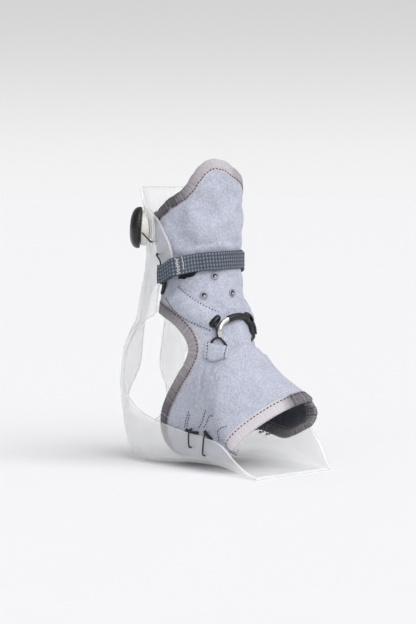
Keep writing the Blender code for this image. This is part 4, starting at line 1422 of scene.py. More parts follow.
@dataclass
class BoundEdge:
    """Knit tape folded over an edge of the wrap and stitched through."""

    name: str
    node: str
    band: Walked
    gather: float
    gather_at: Callable
    shade_at: Callable
    pitch: float
    beyond: float
    swell: float = 1.7
    fold: float = 2.7 * MM
    crease: float = 4.4 * MM
    seam: float = 0.77
    thread: float = 0.44 * MM

    def build(self) -> None:
        """Build the tape in place of its solid, and its stitches on both faces."""
        band, closed, steps = self.band, self.band.closed, len(self.band.points) - 1
        run = lengths(band.points[0])
        pull = self.gather * MM * self.gather_at(band.points[0])
        waves = self.swell * ripple(run, self.fold, 3) * pull
        drawn = 0.6 * ripple(run, self.crease, 8) * pull
        nose = 1.4 * MM / (band.wide / steps)
        profile = [(share * steps, proud, 1.0 if proud > 0.4 else 0.3) for share, proud in TAPE_PROFILE]
        profile.append((nose * 1.5, 0.95, 1.0))
        rows = [band.lifted(at, RIM_PROUD * proud + waves * part) for at, proud, part in profile]
        half, centre = WALL / 2 + RIM_PROUD, band.lifted(nose, -WALL / 2)
        for w in math.pi * np.arange(1, 8) / 8:
            out = self.beyond * math.sin(w) ** 0.8
            rows.append(centre + band.normals[0] * (half * 0.95 + waves[:, None]) * math.cos(w)
                        - band.inward * (out + drawn * 0.4)[:, None])
        rows += [band.lifted(at, -WALL - RIM_PROUD * proud - drawn * part)
                 for at, proud, part in profile[::-1]]
        grid = np.array(rows) if closed else capped(np.array(rows))
        count, wide = grid.shape[:2]
        places = grid.reshape(-1, 3)
        tape = mesh_piece(self.name, places, grid_faces(count, wide, closed, True), TAPE)
        # Painted light on the outer rows past the seam, and painted shade and light that follow the folds, on
        # top of the painted shade and light from shade_at.
        painted_edge_light = np.repeat(np.where(np.arange(count) < 3, 0.3, 0.0), wide)
        folds = np.tile(np.pad(waves / MM, 0 if closed else 1), count)
        mark(tape, "drawn_in", self.shade_at(places) + painted_edge_light + 0.45 * folds)
        weld(tape)
        modify(tape, "SUBSURF", levels=1, render_levels=1)
        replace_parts(tape, self.node)
        runs = [(band.lifted(self.seam * steps, lift), closed) for lift in (0.32 * MM, -WALL - 0.32 * MM)]
        points, quads = stitch_mesh(runs, self.pitch, 0.55 * self.pitch, self.thread)
        mesh_piece(self.name + "_stitches", points, quads, THREAD)


@dataclass
class Bindings:
    """The bound rims of the wrap: top edge, heel opening, mouth and open sole."""

    fine: int = 200
    drawn_in: float = 0.38

    def contour(self, clear: Callable, low: float, high: float) -> tuple[np.ndarray, np.ndarray]:
        """Ring numbers and angles along an opening's edge.

        Args:
            clear: Field that is zero on the edge.
            low: First ring number to look at.
            high: Last ring number to look at.

        Returns:
            The edge's ring numbers and unwrapped angles.
        """
        q, v = np.meshgrid(np.linspace(low, high, self.fine), np.linspace(0.0, 358.0, 180), indexing="ij")
        kept = trim_grid(q, v, RINGS.point, clear, True)
        chain = kept.rim()[0]
        turns = np.unwrap(kept.at[chain, 1], period=360.0)
        return kept.at[chain, 0], turns

    def far_edge(self) -> Walked:
        """Band along the mouth from its near tip, round its far corner and back along the open sole.

        Returns:
            The band.
        """
        turn = np.arange(97.0, -152.5, -1.0)
        q, v = self.contour(sole_clear, 7.0, LAST_RING)
        points = RINGS.point(q, v)
        back = points[:, 1] > 0.35 * HALF_WIDTH
        q, v = q[back], v[back]
        if q[0] < q[-1]:
            q, v = q[::-1], v[::-1]
        v = v - 360.0 * np.round((v[0] + 152.0) / 360.0)
        drawn = np.clip((-45.0 - turn) / 45.0, 0.0, 1.0)
        mouth = LAST_RING - self.drawn_in * drawn * drawn * (3.0 - 2.0 * drawn)
        return walk(np.concatenate((mouth, q)), np.concatenate((turn, v)), False,
                    place((110.0, 0.0, -10.0)), wide=10.6 * MM, easing=150)

    def build(self, mouth: Walked) -> None:
        """Build every rim in place of its solid.

        Args:
            mouth: Band along the mouth and the far lower edge.
        """
        v = np.linspace(0.0, 360.0, 361)[:-1]
        top = walk(RINGS.q_at_height(RINGS.top_height(v), v), v, True, (0.03, 0.0, 10.0))
        heel = walk(*self.contour(heel_clear, 3.0, 9.0), True, place((10.0, 0.0, 28.0)), wide=12.0 * MM)
        for name, node, band, gather, gather_at, shade_at, pitch, beyond in (
                ("top_binding", "binding_top", top, 0.2, self.top_gathers, self.top_shade, 2.9, 3.0),
                ("heel_binding", "binding_heel", heel, 0.3, self.low_gathers, self.heel_shade, 3.0, 1.6),
                ("mouth_binding", "binding_toe", mouth, 0.2, self.far_gathers, self.mouth_shade, 3.2, 1.6)):
            BoundEdge(name, node, band, gather, gather_at, shade_at, pitch * MM, beyond * MM).build()

    def top_shade(self, points: np.ndarray) -> np.ndarray:
        """Painted light and shade of the top tape: painted light at the front peak, painted shade towards the
        back and on the far side.
        """
        front = part_way(points[:, 0], 0.31 * REACH, 0.17 * REACH)
        return 0.24 + 0.86 * front - 0.3 * np.clip(points[:, 1] / (0.2 * HALF_WIDTH), 0.0, 1.0)

    def top_gathers(self, points: np.ndarray) -> np.ndarray:
        """Strength of the gathers along the top edge: strong at the sides."""
        return 0.4 + 1.5 * np.clip(1.0 - (points[:, 0] - 0.25 * REACH) / (0.17 * REACH), 0.0, 1.0)

    def heel_shade(self, points: np.ndarray) -> np.ndarray:
        """Painted shade of the heel tape: darker low down and at its top end."""
        low = part_way(points[:, 2], 0.2 * HEIGHT, 0.16 * HEIGHT)
        return 0.3 + 0.42 * low * (0.3 + 0.7 * part_way(-points[:, 2], -0.56 * HEIGHT, 0.05 * HEIGHT))

    def mouth_shade(self, points: np.ndarray) -> np.ndarray:
        """Painted light and shade of the mouth tape: painted light along the near side, painted shade at its
        tip and far return.
        """
        tip = part_way(points[:, 2], 0.07 * HEIGHT, 0.03 * HEIGHT)
        return 0.4 + 1.1 * part_way(-points[:, 1], -0.2 * HALF_WIDTH, 0.3 * HALF_WIDTH) * tip

    def low_gathers(self, points: np.ndarray) -> np.ndarray:
        """Strength of the gathers along the heel opening: strong near the sole."""
        return 0.45 + 1.3 * np.clip(1.0 - points[:, 2] / (0.33 * HEIGHT), 0.0, 1.0)

    def far_gathers(self, points: np.ndarray) -> np.ndarray:
        """Strength of the gathers along the mouth: strong round its far end."""
        return 0.6 + 1.6 * np.clip(points[:, 1] / HALF_WIDTH, 0.0, 1.0)


@dataclass
class SewnPatch:
    """Piece of padded jersey sewn on the wrap between four corners."""

    name: str
    node: str
    corners: tuple
    turn: float
    crown: float
    long: int = 56
    wide: int = 22
    inset: float = 0.16
    ends: bool = False

    def lift(self, s: np.ndarray, t: np.ndarray) -> np.ndarray:
        """Height of the upper face over the seat.

        Args:
            s: Shares along the patch.
            t: Shares across it.

        Returns:
            Heights in metres.
        """
        edge = np.clip(np.minimum(t, 1 - t) / self.inset, 0.0, 1.0)
        puff = np.sin(np.pi * np.clip((t - self.inset) / (1 - 2 * self.inset), 0, 1)) ** 0.65
        rows = sum(np.exp(-((t - c) / 0.045) ** 2) for c in (self.inset, 1 - self.inset))
        if self.ends:
            body = np.minimum(np.minimum(t, 1 - t) * 9.0, np.minimum(s, 1 - s) * 12.0)
            body = np.clip(body, 0, 1) ** 0.5
            creases = 0.12 * np.sin(s * 17 + 3 * t) * puff
            return (0.2 + 0.9 * body + self.crown * puff + creases * body - 0.5 * rows) * MM
        run_in, run_out = np.clip(s / 0.16, 0, 1) ** 0.7, np.clip((1 - s) / 0.03, 0, 1) ** 0.5
        creases = (-1.3 * np.exp(-((s - 0.36 + 0.12 * t) / 0.05) ** 2)
                   - 0.9 * np.exp(-((s - 0.8 + 0.1 * t) / 0.04) ** 2)
                   + 0.25 * np.sin(s * 33 + 2.2 * np.sin(t * 4)))
        flat = -1.5 + 0.85 * edge ** 0.6 * run_in
        return (flat + (self.crown * run_in + creases) * puff * run_out - 0.35 * rows * run_in) * MM

    def at(self, s: np.ndarray, t: np.ndarray, lift: np.ndarray) -> np.ndarray:
        """Points over the wrap.

        Args:
            s: Shares along the patch.
            t: Shares across it.
            lift: Heights over the patch's seat.

        Returns:
            The points in metres.
        """
        behind = 0.0 if self.turn > 0 else FAR_SHIFT * (2.0 if self.ends else 1.0)
        a, b, c, d = (np.array((q, (v + behind) * self.turn)) for q, v in self.corners)
        s, t, lift = np.broadcast_arrays(s, t, lift)
        along, across = s[..., None], t[..., None]
        spot = (a + (d - a) * along) * (1 - across) + (b + (c - b) * along) * across
        flat = spot.reshape(-1, 2)
        normals = np.array([RINGS.normal(q, v) for q, v in flat]).reshape(spot.shape[:-1] + (3,))
        return RINGS.point(spot[..., 0], spot[..., 1]) + normals * (PATCH_LIFT + lift)[..., None]

    def build(self) -> None:
        """Build the patch in place of its solid, with its stitches."""
        s, t = np.meshgrid(np.linspace(0, 1, self.long + 1), np.linspace(0, 1, self.wide + 1), indexing="ij")
        upper = self.at(s, t, self.lift(s, t)).reshape(-1, 3)
        lower = self.at(s, t, np.full(s.shape, -0.7 * MM if self.ends else -2.2 * MM)).reshape(-1, 3)
        rows, cols = s.shape
        count = rows * cols
        faces = grid_faces(rows, cols, False)
        faces += [tuple(reversed([p + count for p in f])) for f in faces]
        index = np.arange(count).reshape(rows, cols)
        ring = [*index[0], *index[1:, -1], *index[-1, -2::-1], *index[-2:0:-1, 0]]
        faces += [(a, a + count, b + count, b) for a, b in zip(ring, ring[1:] + ring[:1])]
        obj = weld(mesh_piece(self.name, np.concatenate((upper, lower)), faces, JERSEY))
        modify(obj, "SUBSURF", levels=1, render_levels=1)
        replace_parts(obj, self.node)
        line, runs = np.linspace(0.05, 0.95 if self.turn > 0 else 0.55, 60), []
        for c in (self.inset, 1 - self.inset):
            across = np.full(60, c)
            lift = np.maximum(self.lift(line, across), 0.35 * MM - PATCH_LIFT) + 0.25 * MM
            runs.append((self.at(line, across, lift), False))
        points, quads = stitch_mesh(runs, 2.7 * MM, 1.5 * MM, 0.42 * MM)
        mesh_piece(self.name + "_stitches", points, quads, THREAD)


# Corners of the sewn patches as ring number and angle, and how much further back the far ones sit.
SLEEVE = ((3.62, 74.0), (4.4, 112.0), (6.4, 42.0), (4.96, 17.0))
TAB = ((6.33, 50.0), (7.0, 20.0), (7.9, 27.0), (6.69, 56.0))
FAR_SHIFT = 10.0


def on_wrap(q: float, v: float, lift: float) -> np.ndarray:
    """Point at a height off the wrap's face."""
    return RINGS.point(q, v) + RINGS.normal(q, v) * lift


def wrap_path(rows: Sequence, steps: int, turn: float = 1.0) -> np.ndarray:
    """Smooth path over the wrap through rows of ring number, angle and height in millimetres."""
    return smooth_path([on_wrap(q, v * turn, lift * MM) for q, v, lift in rows], steps)


def strap_level(v: float) -> float:
    """Mid height of the strap at an angle round the leg."""
    return float(eased(STRAP_TABLE, np.array([v]))[0]) / 100 * HEIGHT


@dataclass
class ShinStrap:
    """Woven strap round the shin with its loop on the near side and the hook tape under it."""

    thick: float = 1.6 * MM
    tall: float = 15.0 * MM
    hook_thick: float = 0.9 * MM
    hook_tall: float = 11.0 * MM
    leaves: float = 48.0
    clear: float = 0.35 * MM
    lace: float = 0.65 * MM
    seam_at: float = 0.42
    step: float = 0.55 * MM
    rib: float = 2.6 * MM
    hook_drop: tuple = ((30.0, 0.4), (40.0, 0.9), (48.5, 2.7), (53.0, 4.4), (60.0, 3.7), (76.0, 0.0))

    def sides(self) -> tuple[float, float]:
        """Distances of the loop's layers from the middle plane.

        Returns:
            The inner and the outer distance.
        """
        wall = -SHELL.near_to(28.0, 71.5)[1]
        inner = wall + self.clear + self.thick / 2
        return inner, inner + self.thick + 2 * self.lace + 2 * self.clear

    def stations(self) -> np.ndarray:
        """Plan path of the strap: x, y and the angle round the leg.

        Returns:
            Rows of x, y and angle.
        """
        inner, outer = self.sides()
        back, front = 0.248 * REACH, 0.364 * REACH
        bend, mid = (outer - inner) / 2, (inner + outer) / 2
        line = [(front + bend, -(inner - 2.2 * bend), 62.0), (front - 1.4 * bend, -inner, 64.0),
                (back + 2.0 * bend, -inner, 80.0)]
        line += [(back + bend - bend * math.sin(w), -(mid - bend * math.cos(w)), 88.0)
                 for w in np.linspace(0, math.pi, 7)]
        line += [(back + 3.0 * bend, -outer, 82.0), (front - 2.6 * bend, -(outer - 0.2 * bend), 66.0),
                 (front + bend, -(outer - 1.3 * bend), 60.0)]
        for v in np.linspace(self.leaves, -self.leaves, 13):
            q = RINGS.leg_q(strap_level(v), v)
            over = min(max(v / 20.0, 0.0), 1.0) * (self.hook_thick + self.clear)
            sunk = 0.9 * MM * min(max((20.0 - v) / 40.0, 0.0), 1.0)
            p = on_wrap(q, v, 1.6 * self.clear + self.thick / 2 + over - sunk)
            line.append((p[0], p[1], v))
        tail = inner + self.clear
        line += [(0.385 * REACH, 0.76 * HALF_WIDTH, -58.0), (0.36 * REACH, 0.9 * HALF_WIDTH, -66.0),
                 (0.335 * REACH, tail - 0.4 * bend, -72.0), (0.30 * REACH, tail, -80.0),
                 (0.23 * REACH, tail, -90.0)]
        return np.array(line)

    def line(self, stations: np.ndarray) -> tuple[np.ndarray, np.ndarray, np.ndarray]:
        """Even plan path through stations.

        Args:
            stations: Rows of x, y and angle.

        Returns:
            The path's points, its sideways directions and its angles.
        """
        curve = table_at(stations, np.linspace(0, len(stations) - 1, (len(stations) - 1) * 12 + 1))
        path = resample(np.column_stack((curve[:, :2], curve[:, 2] * 1e-5)), self.step)
        way = directions(path[:, :2], False)
        return path, np.column_stack((-way[:, 1], way[:, 0])), path[:, 2] * 1e5

    def web(self, name: str, stations: np.ndarray, thick: float, tall: float, drop: tuple, finish: Finish,
            ribs: float) -> bpy.types.Object:
        """Make a strip of webbing on edge along a plan path.

        Args:
            name: Name of the piece.
            stations: Rows of x, y and angle.
            thick: Thickness.
            tall: Height.
            drop: Table of angle and how far its middle lies below the strap's, in millimetres.
            finish: Surface finish.
            ribs: Height of the woven ribs.

        Returns:
            The strip.
        """
        path, side, angle = self.line(stations)
        level = np.array([strap_level(v) for v in angle]) - eased(drop, angle) * MM
        run = np.arange(len(path)) * self.step
        share = np.linspace(-1, 1, 31)
        rows, tops = [], []
        for face in (1.0, -1.0):
            for c in share if face > 0 else share[::-1]:
                slantwise = 2 * math.pi * (run / self.rib + 0.35 * c)
                rib = (0.5 + 0.5 * np.sin(slantwise)) * (0.6 + 0.4 * math.cos(2 * math.pi * 2.5 * c))
                rib = np.where(abs(c) > 0.88, 0.15, rib)
                tops.append(rib)
                selvage = (0.5 * math.exp(-((abs(c) - 0.93) / 0.05) ** 2)
                           - 0.6 * math.exp(-((abs(c) - 0.84) / 0.03) ** 2))
                half = thick / 2 * (1 - max(abs(c) - 0.93, 0) * 9) + ribs * (rib + selvage - 0.5)
                row = np.column_stack((path[:, :2] + side * (face * half)[:, None], level + c * tall / 2))
                rows.append(row)
        grid = capped(np.array(rows))
        faces = grid_faces(*grid.shape[:2], False, True)
        strip = mesh_piece(name, grid.reshape(-1, 3), faces, finish)
        # These rib heights drive the finish's painted light on the yarn tops and painted shade in the furrows.
        mark(strip, "raised", np.pad(np.array(tops), ((0, 0), (1, 1))))
        return weld(strip)

    def build(self) -> None:
        """Build the strap, its hook tape and the seam of its loop."""
        strap = self.web("shin_strap", self.stations(), self.thick, self.tall, ((-91.0, 0.0), (91.0, 0.0)),
                         WEBBING, 0.3 * MM)
        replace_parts(strap, "strap")
        hook = []
        for v in np.linspace(76.0, self.leaves - 18.0, 12):
            q = RINGS.leg_q(strap_level(v) - 0.2 * self.tall, v)
            p = on_wrap(q, v, 1.6 * self.clear + self.hook_thick / 2)
            hook.append((p[0], p[1], v))
        tape = self.web("hook_tape", np.array(hook), self.hook_thick, self.hook_tall, self.hook_drop,
                        HOOK_TAPE, 0.1 * MM)
        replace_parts(tape, "strap_hook")
        self.seam()

    def on_face(self, share: float, up: float) -> np.ndarray:
        """Point just over the outer face of the loop's outer layer.

        Args:
            share: Share of the way along the layer.
            up: Height over its middle, as a share of half its height.

        Returns:
            The point in metres.
        """
        path, side, angle = self.line(self.stations())
        first = int(np.argmax(angle > 87.9)) + int(11.0 * MM / self.step)
        k = first + int(share * 30.0 * MM / self.step)
        return np.array((*(path[k, :2] - side[k] * (self.thick / 2 + 0.3 * MM)),
                         strap_level(float(angle[k])) + up * self.tall / 2))

    def seam(self) -> None:
        """White zigzag and bar that close the loop."""
        zigzag = [self.on_face(self.seam_at + 0.06 + 0.006 * k + (0.03 if k % 2 else -0.03),
                               0.85 - k / 12 * 1.7) for k in range(13)]
        upright = [self.on_face(self.seam_at + 0.22 + 0.012 * k, 0.9 - k / 4 * 1.3) for k in range(5)]
        points, quads = stitch_mesh([(np.array(zigzag), False), (np.array(upright), False)],
                                    1.3 * MM, 1.5 * MM, 0.3 * MM)
        mesh_piece("loop_seam", points, quads, WHITE_THREAD)


@dataclass
class WindingDial:
    """Lace dial on the shell's back corner: cream base and black cap."""

    turn: float = 47.0
    tilt: float = 4.0
    level: float = 85.2
    along: float = 6.5
    radius: float = 17.3 * MM
    height: float = 9.4 * MM
    base_radius: float = 14.8 * MM
    base_height: float = 3.4 * MM
    pin: float = 4.0 * MM
    flutes: int = 40
    # Outline of the cap, as shares of its radius and height.
    dome: tuple = ((0.93, 0.0), (0.95, 0.01), (0.985, 0.05), (1.0, 0.14), (1.0, 0.26), (0.985, 0.38),
                   (0.96, 0.49), (0.92, 0.59), (0.86, 0.69), (0.77, 0.79), (0.66, 0.87), (0.52, 0.935),
                   (0.36, 0.975), (0.18, 0.995), (0.0, 1.0))

    def seat(self) -> tuple[np.ndarray, np.ndarray]:
        """Where the dial sits on the shell, and its axis.

        Returns:
            The place and the axis.
        """
        turn = math.radians(self.turn)
        axis = unit(np.array((-math.cos(turn), -math.sin(turn), math.tan(math.radians(self.tilt)))))
        return SHELL.near_to(self.along, self.level), axis

    def grip(self, angle: float, ring: int) -> float:
        """Factor that cuts shallow finger flutes into the rim of the cap."""
        depth = 0.014 if 3 <= ring <= 9 else 0.0
        return 1.0 - depth * (0.5 + 0.5 * math.cos(angle * self.flutes)) ** 2

    def build(self) -> None:
        """Build the cap in place of its solid, and finish the base."""
        at, axis = self.seat()
        big, tall = self.radius, self.height
        bore, deep = self.pin + 0.35 * MM, 3.95 * MM
        profile = [(0, deep), (bore, deep), (bore, 0)] + [(r * big, h * tall) for r, h in self.dome]
        points, faces = turned_mesh(profile, 240, self.grip)
        cap = mesh_piece("dial_cap", stood(points, at + axis * (self.base_height + 0.35 * MM), axis), faces,
                         BLACK_NYLON, Body.KNOB)
        weld(cap)
        cap.data.set_sharp_from_angle(angle=math.radians(50))
        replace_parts(cap, "dial_knob")
        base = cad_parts["dial_base"]
        base.data.materials.clear()
        base.data.materials.append(CREAM_ACETAL.material())
        modify(base, "BEVEL", width=0.35 * MM, segments=2, limit_method="ANGLE", angle_limit=math.radians(40))


@dataclass
class Lacing:
    """Black lace from the dial to the sleeve, and its two ends at the instep."""

    radius: float = 0.65 * MM
    end_radius: float = 1.1 * MM
    clear: float = 0.35 * MM
    wall: float = 2.5 * MM
    slit_loop: tuple = ((6.52, 43.5, -0.6), (6.46, 41.5, 0.9), (6.43, 37.0, 1.5), (6.47, 32.0, 1.7),
                        (6.66, 27.5, 1.5), (6.9, 23.5, -0.6))
    mouth: tuple = ((0, 1.0), (1.0, 1.1), (1.7, 1.6), (2.1, 2.4), (2.7, 2.7), (3.3, 2.5), (3.7, 1.8),
                    (3.9, 0.8), (3.8, -1.0), (3.2, -2.6), (0, -3.0))
    tail: tuple = ((3.6, 101.5, 2.6), (3.75, 103.5, 2.1), (3.92, 107.5, 1.7), (4.12, 117.0, 0.4))

    def route(self, dial: WindingDial, strap: ShinStrap) -> np.ndarray:
        """Points of the lace from the dial, through the shell and the strap's loop, to the sleeve.

        Args:
            dial: Dial that winds the lace.
            strap: Strap whose loop it passes.

        Returns:
            The points in metres.
        """
        at, axis = dial.seat()
        first, second = (SHELL.near_to(x, z) for x, z in LACE_HOLES)
        out, inn = np.array((0, -(self.radius + 2 * self.clear), 0)), np.array((0, self.wall, 0))
        clear = self.radius + self.clear
        sideways = unit(np.cross(axis, (0, 0, 1)))
        sideways = sideways if sideways[0] > 0 else -sideways
        start = (at + axis * (0.75 * dial.base_height) + sideways * (dial.base_radius + clear)
                 - np.array((0, 0, 0.25 * dial.base_radius)))
        inner, outer = strap.sides()
        mid, x = -(inner + outer) / 2, 0.248 * REACH + 1.6 * strap.thick
        high, low = strap_level(84.0) + strap.tall / 2, strap_level(84.0) - strap.tall / 2
        deep, through = np.array((0, self.wall + 6.5 * MM, 0)), np.array((0, 1.6 * self.wall, 0))
        under = (first + deep, second + deep)
        span = under[1] - under[0]
        ends = [on_wrap(q, v, lift * MM) for q, v, lift in self.tail]
        return smooth_path([
            start, (start + first + out) / 2, first + out, first + inn * 0.5, first + through,
            under[0] + span * 0.15, under[0] + span * 0.5, under[0] + span * 0.85, second + through,
            second + inn * 0.5, second + out, (x - 1.2 * MM, mid, high + 4.0 * MM), (x, mid, high),
            (x, mid, low),
            *ends], 6)

    def build(self, dial: WindingDial, strap: ShinStrap) -> None:
        """Build the laces in place of their solids.

        Args:
            dial: Dial that winds the lace.
            strap: Strap whose loop the lace passes.
        """
        path = self.route(dial, strap)
        upper = cord_piece("dial_lace", path, self.radius, LACE)
        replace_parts(upper, "lace_upper")
        for name, turn, ends in (("near", 1.0, ((5.74, 33.5), (6.46, 33.0))),
                                 ("far", -1.0, ((5.8, -41.0), (6.38, -43.0)))):
            a, b = (on_wrap(q, v, self.end_radius + 1.4 * MM) for q, v in ends)
            line = smooth_path([a, (a + b) / 2 + np.array((self.end_radius, 0, 0)), b], 10)
            lace = cord_piece("instep_lace_" + name, line, self.end_radius, LACE)
            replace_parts(lace, "lace_" + name)
            cord_piece("slit_loop_" + name, wrap_path(self.slit_loop, 8, turn), 0.85 * self.end_radius, LACE)
            self.sleeve_mouth(name, turn)
        cord_piece("lace_keeper", wrap_path(self.tail, 10), 1.6 * MM, RUBBER)

    def sleeve_mouth(self, name: str, turn: float) -> None:
        """Make the black moulded mouth where the lace leaves a sleeve.

        Args:
            name: Side's name.
            turn: 1 on the near side, -1 on the far one.
        """
        q, v = 5.74, 32.5 if turn > 0 else -25.0
        at, normal = on_wrap(q, v, 2.0 * MM), RINGS.normal(q, v)
        along = unit(on_wrap(5.56, 35.0 * turn, 0.0) - on_wrap(4.15, 100.0 * turn, 0.0))
        along = unit(along - normal * (along @ normal) * 0.6 + normal * 0.25)
        points, faces = turned_mesh([(r * MM, h * MM) for r, h in self.mouth], 40)
        wide = unit(np.cross(normal, along))
        turned = np.column_stack((wide, np.cross(along, wide), along))
        weld(mesh_piece("sleeve_mouth_" + name, points * (1.6, 0.85, 1.0) @ turned.T + at, faces, BLACK_NYLON))


@dataclass
class Eyelets:
    """Steel rings that line the vents over the instep."""

    rim: float = 3.1 * MM
    bore: float = 1.8 * MM
    # Black cup in each vent, as shares of the bore and millimetres: painted shade inside the hole.
    cup: tuple = ((0.0, -0.1), (0.6, -0.08), (0.95, 0.1), (1.1, 0.1), (1.1, -0.4), (0.0, -0.4))
    places: tuple = (("upper", 24.0, 68.4), ("near", 41.0, 61.5), ("far", -3.0, 62.2))

    def part(self, name: str, profile: Sequence, at: np.ndarray, axis: np.ndarray, finish: Finish,
             slot: str) -> bpy.types.Object:
        """Spin a profile and stand it on the wrap.

        Args:
            name: Name of the piece.
            profile: Points of radius and height.
            at: Place of the profile's foot.
            axis: Direction of its height.
            finish: Surface finish.
            slot: Not used.

        Returns:
            The new object.
        """
        points, faces = turned_mesh(profile, 48 if profile[0][0] > 0 else 40)
        return weld(mesh_piece(name, stood(points, at, axis), faces, finish))

    def build(self) -> None:
        """Build each ring in place of its solid, a black cup in it as painted shade in the hole, and the pale
        floor of the hole set off centre so the cup shows as a painted shadow on one side.
        """
        middle, round_off = (self.rim + self.bore) / 2, (self.rim - self.bore) / 2
        ring = [(middle + round_off * math.cos(w), 0.35 * MM * math.sin(w) + 0.2 * MM)
                for w in np.linspace(0, 2 * math.pi, 17)[:-1]]
        cup = [(r * self.bore, h * MM) for r, h in self.cup]
        for name, v, level in self.places:
            q = RINGS.leg_q(level / 100 * HEIGHT, v)
            at, axis = on_wrap(q, v, 0.5 * MM), RINGS.normal(q, v)
            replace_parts(self.part("eyelet_ring_" + name, ring, at, axis, NICKEL, "steel"), "eyelet_" + name)
            # Painted shade: the black cup that darkens the inside of the vent.
            self.part("vent_" + name, cup, at, axis, RUBBER, "cover")
            across = unit(np.cross((0.0, 0.0, 1.0), axis))
            # The floor sits off centre, leaving a crescent of the black cup as painted shadow.
            low = at + (across + np.cross(across, axis)) * 0.3 * self.bore + axis * 0.1 * MM
            floor = [(0.52 * r, 0.5 * h) for r, h in cup]
            self.part("vent_floor_" + name, floor, low, axis, JERSEY, "jersey")


@dataclass
class LaceGuide:
    """Steel wire arched over the instep with a rubber tube on its middle."""

    radius: float = 1.7 * MM
    clear: float = 0.35 * MM
    wall: float = 1.1 * MM
    foot: float = 6.46
    rise: float = 0.72
    spread: float = 31.0
    sides: int = 28

    def build(self) -> None:
        """Build the wire and its tube in place of their solids."""
        outer = self.radius + 1.6 * self.clear + self.wall
        path = []
        for k in range(17):
            w = math.pi * k / 16
            rise = abs(math.sin(w)) ** 0.8
            lift = self.radius + self.clear + (outer + self.clear - self.radius) * min(4.0 * rise, 1.0)
            lift *= 1.0 - 0.75 * min(max((k - 8) / 4, 0.0), 1.0)
            path.append(on_wrap(self.foot - self.rise * rise, -1.0 + self.spread * math.cos(w), lift))
        wire = cord_piece("guide_wire", smooth_path(path[:11], 5), 1.25 * self.radius, STEEL)
        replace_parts(wire, "guide_arch")
        line = smooth_path(path[5:17], 6)
        ways = directions(line, False)
        a = unit(np.cross(ways, (1.0, 0.0, 0.0)))
        b = np.cross(ways, a)
        share = np.linspace(0, 1, len(line))
        wide = 0.8 * outer * (1 - 0.4 * np.clip((share - 0.6) / 0.4, 0, 1))
        wide = wide * (1 + 0.3 * np.exp(-((share - 0.5) / 0.06) ** 2))
        angles = 2 * math.pi * np.arange(self.sides) / self.sides
        rings = np.array([line + (a * math.cos(w) + b * math.sin(w)) * wide[:, None] for w in angles])
        rings = rings.transpose(1, 0, 2)
        inner = line[:, None] + (rings - line[:, None]) * (1.27 * self.radius / wide)[:, None, None]
        grid = np.concatenate((inner[:1] - ways[0] * 0.2 * MM, rings, inner[-1:] + ways[-1] * 0.2 * MM,
                               inner[::-1]))
        faces = grid_faces(len(grid), self.sides, True, True)
        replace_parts(weld(mesh_piece("guide_tube", grid.reshape(-1, 3), faces, RUBBER)), "arch_cover")


@dataclass
class TieCords:
    """Short cords that tie the wrap to the shell walls, two a side."""

    radius: float = 0.65 * MM
    clear: float = 0.35 * MM
    wall: float = 2.5 * MM

    def build(self) -> None:
        """Build each cord in place of its solid."""
        for name, far, (hx, hz), (kx, kz) in TIES:
            side = 1.0 if far else -1.0
            hole, wide = SHELL.near_to(hx, hz, far), abs(SHELL.near_to(kx, kz - 3.0, far)[1])
            step, out = np.array((0, side, 0)), self.radius + 2 * self.clear
            knot = place((kx, 0.0, kz))
            inner = side * (wide - self.wall - out)
            path = smooth_path([
                (knot[0] - 3.5 * MM, inner, knot[2]), (knot[0], inner, knot[2] + 0.8 * MM),
                (knot[0] + 1.6 * MM, side * (wide - self.wall / 2), knot[2] + 1.2 * MM),
                (knot[0] + 2.0 * MM, side * (wide + out), knot[2] - 2.2 * MM),
                hole + step * (1.6 * out) + np.array((0, 0, 3.0 * MM)), hole + step * out * 0.9,
                hole - step * self.wall, hole - step * (self.wall + out * 0.6)], 6)
            cord = cord_piece("tie_" + name, path, self.radius, LACE)
            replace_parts(cord, "cord_" + name)


@dataclass
class CordAnchors:
    """Sewn channels and knots that hold the tie cords on the wrap."""

    rows: tuple = (((7.25, 92.0), (7.34, 99.0)), ((7.91, 89.0), (7.81, 95.0)), ((8.68, 75.5), (8.01, 93.5)),
                   ((9.4, 61.5), (8.93, 96.5)), ((7.33, 92.5), (7.42, 99.5)))
    knots: tuple = (((7.43, 100.5), (7.6, 101.0), (7.83, 99.0)), ((8.08, 95.5), (8.3, 98.5), (8.47, 99.5)))
    radius: float = 1.3 * MM

    def build(self) -> None:
        """Build the stitches and the knots of the near side."""
        runs = []
        for (qa, va), (qb, vb) in self.rows:
            line = [on_wrap(qa + (qb - qa) * t, va + (vb - va) * t, 0.45 * MM) for t in np.linspace(0, 1, 8)]
            runs.append((np.array(line), False))
        points, quads = stitch_mesh(runs, 2.5 * MM, 1.5 * MM, 0.36 * MM)
        mesh_piece("anchor_stitches", points, quads, THREAD)
        for k, knot in enumerate(self.knots):
            line = wrap_path([(q, v, 1.0) for q, v in knot], 8)
            cord_piece(f"cord_knot_{k}", line, self.radius, LACE)


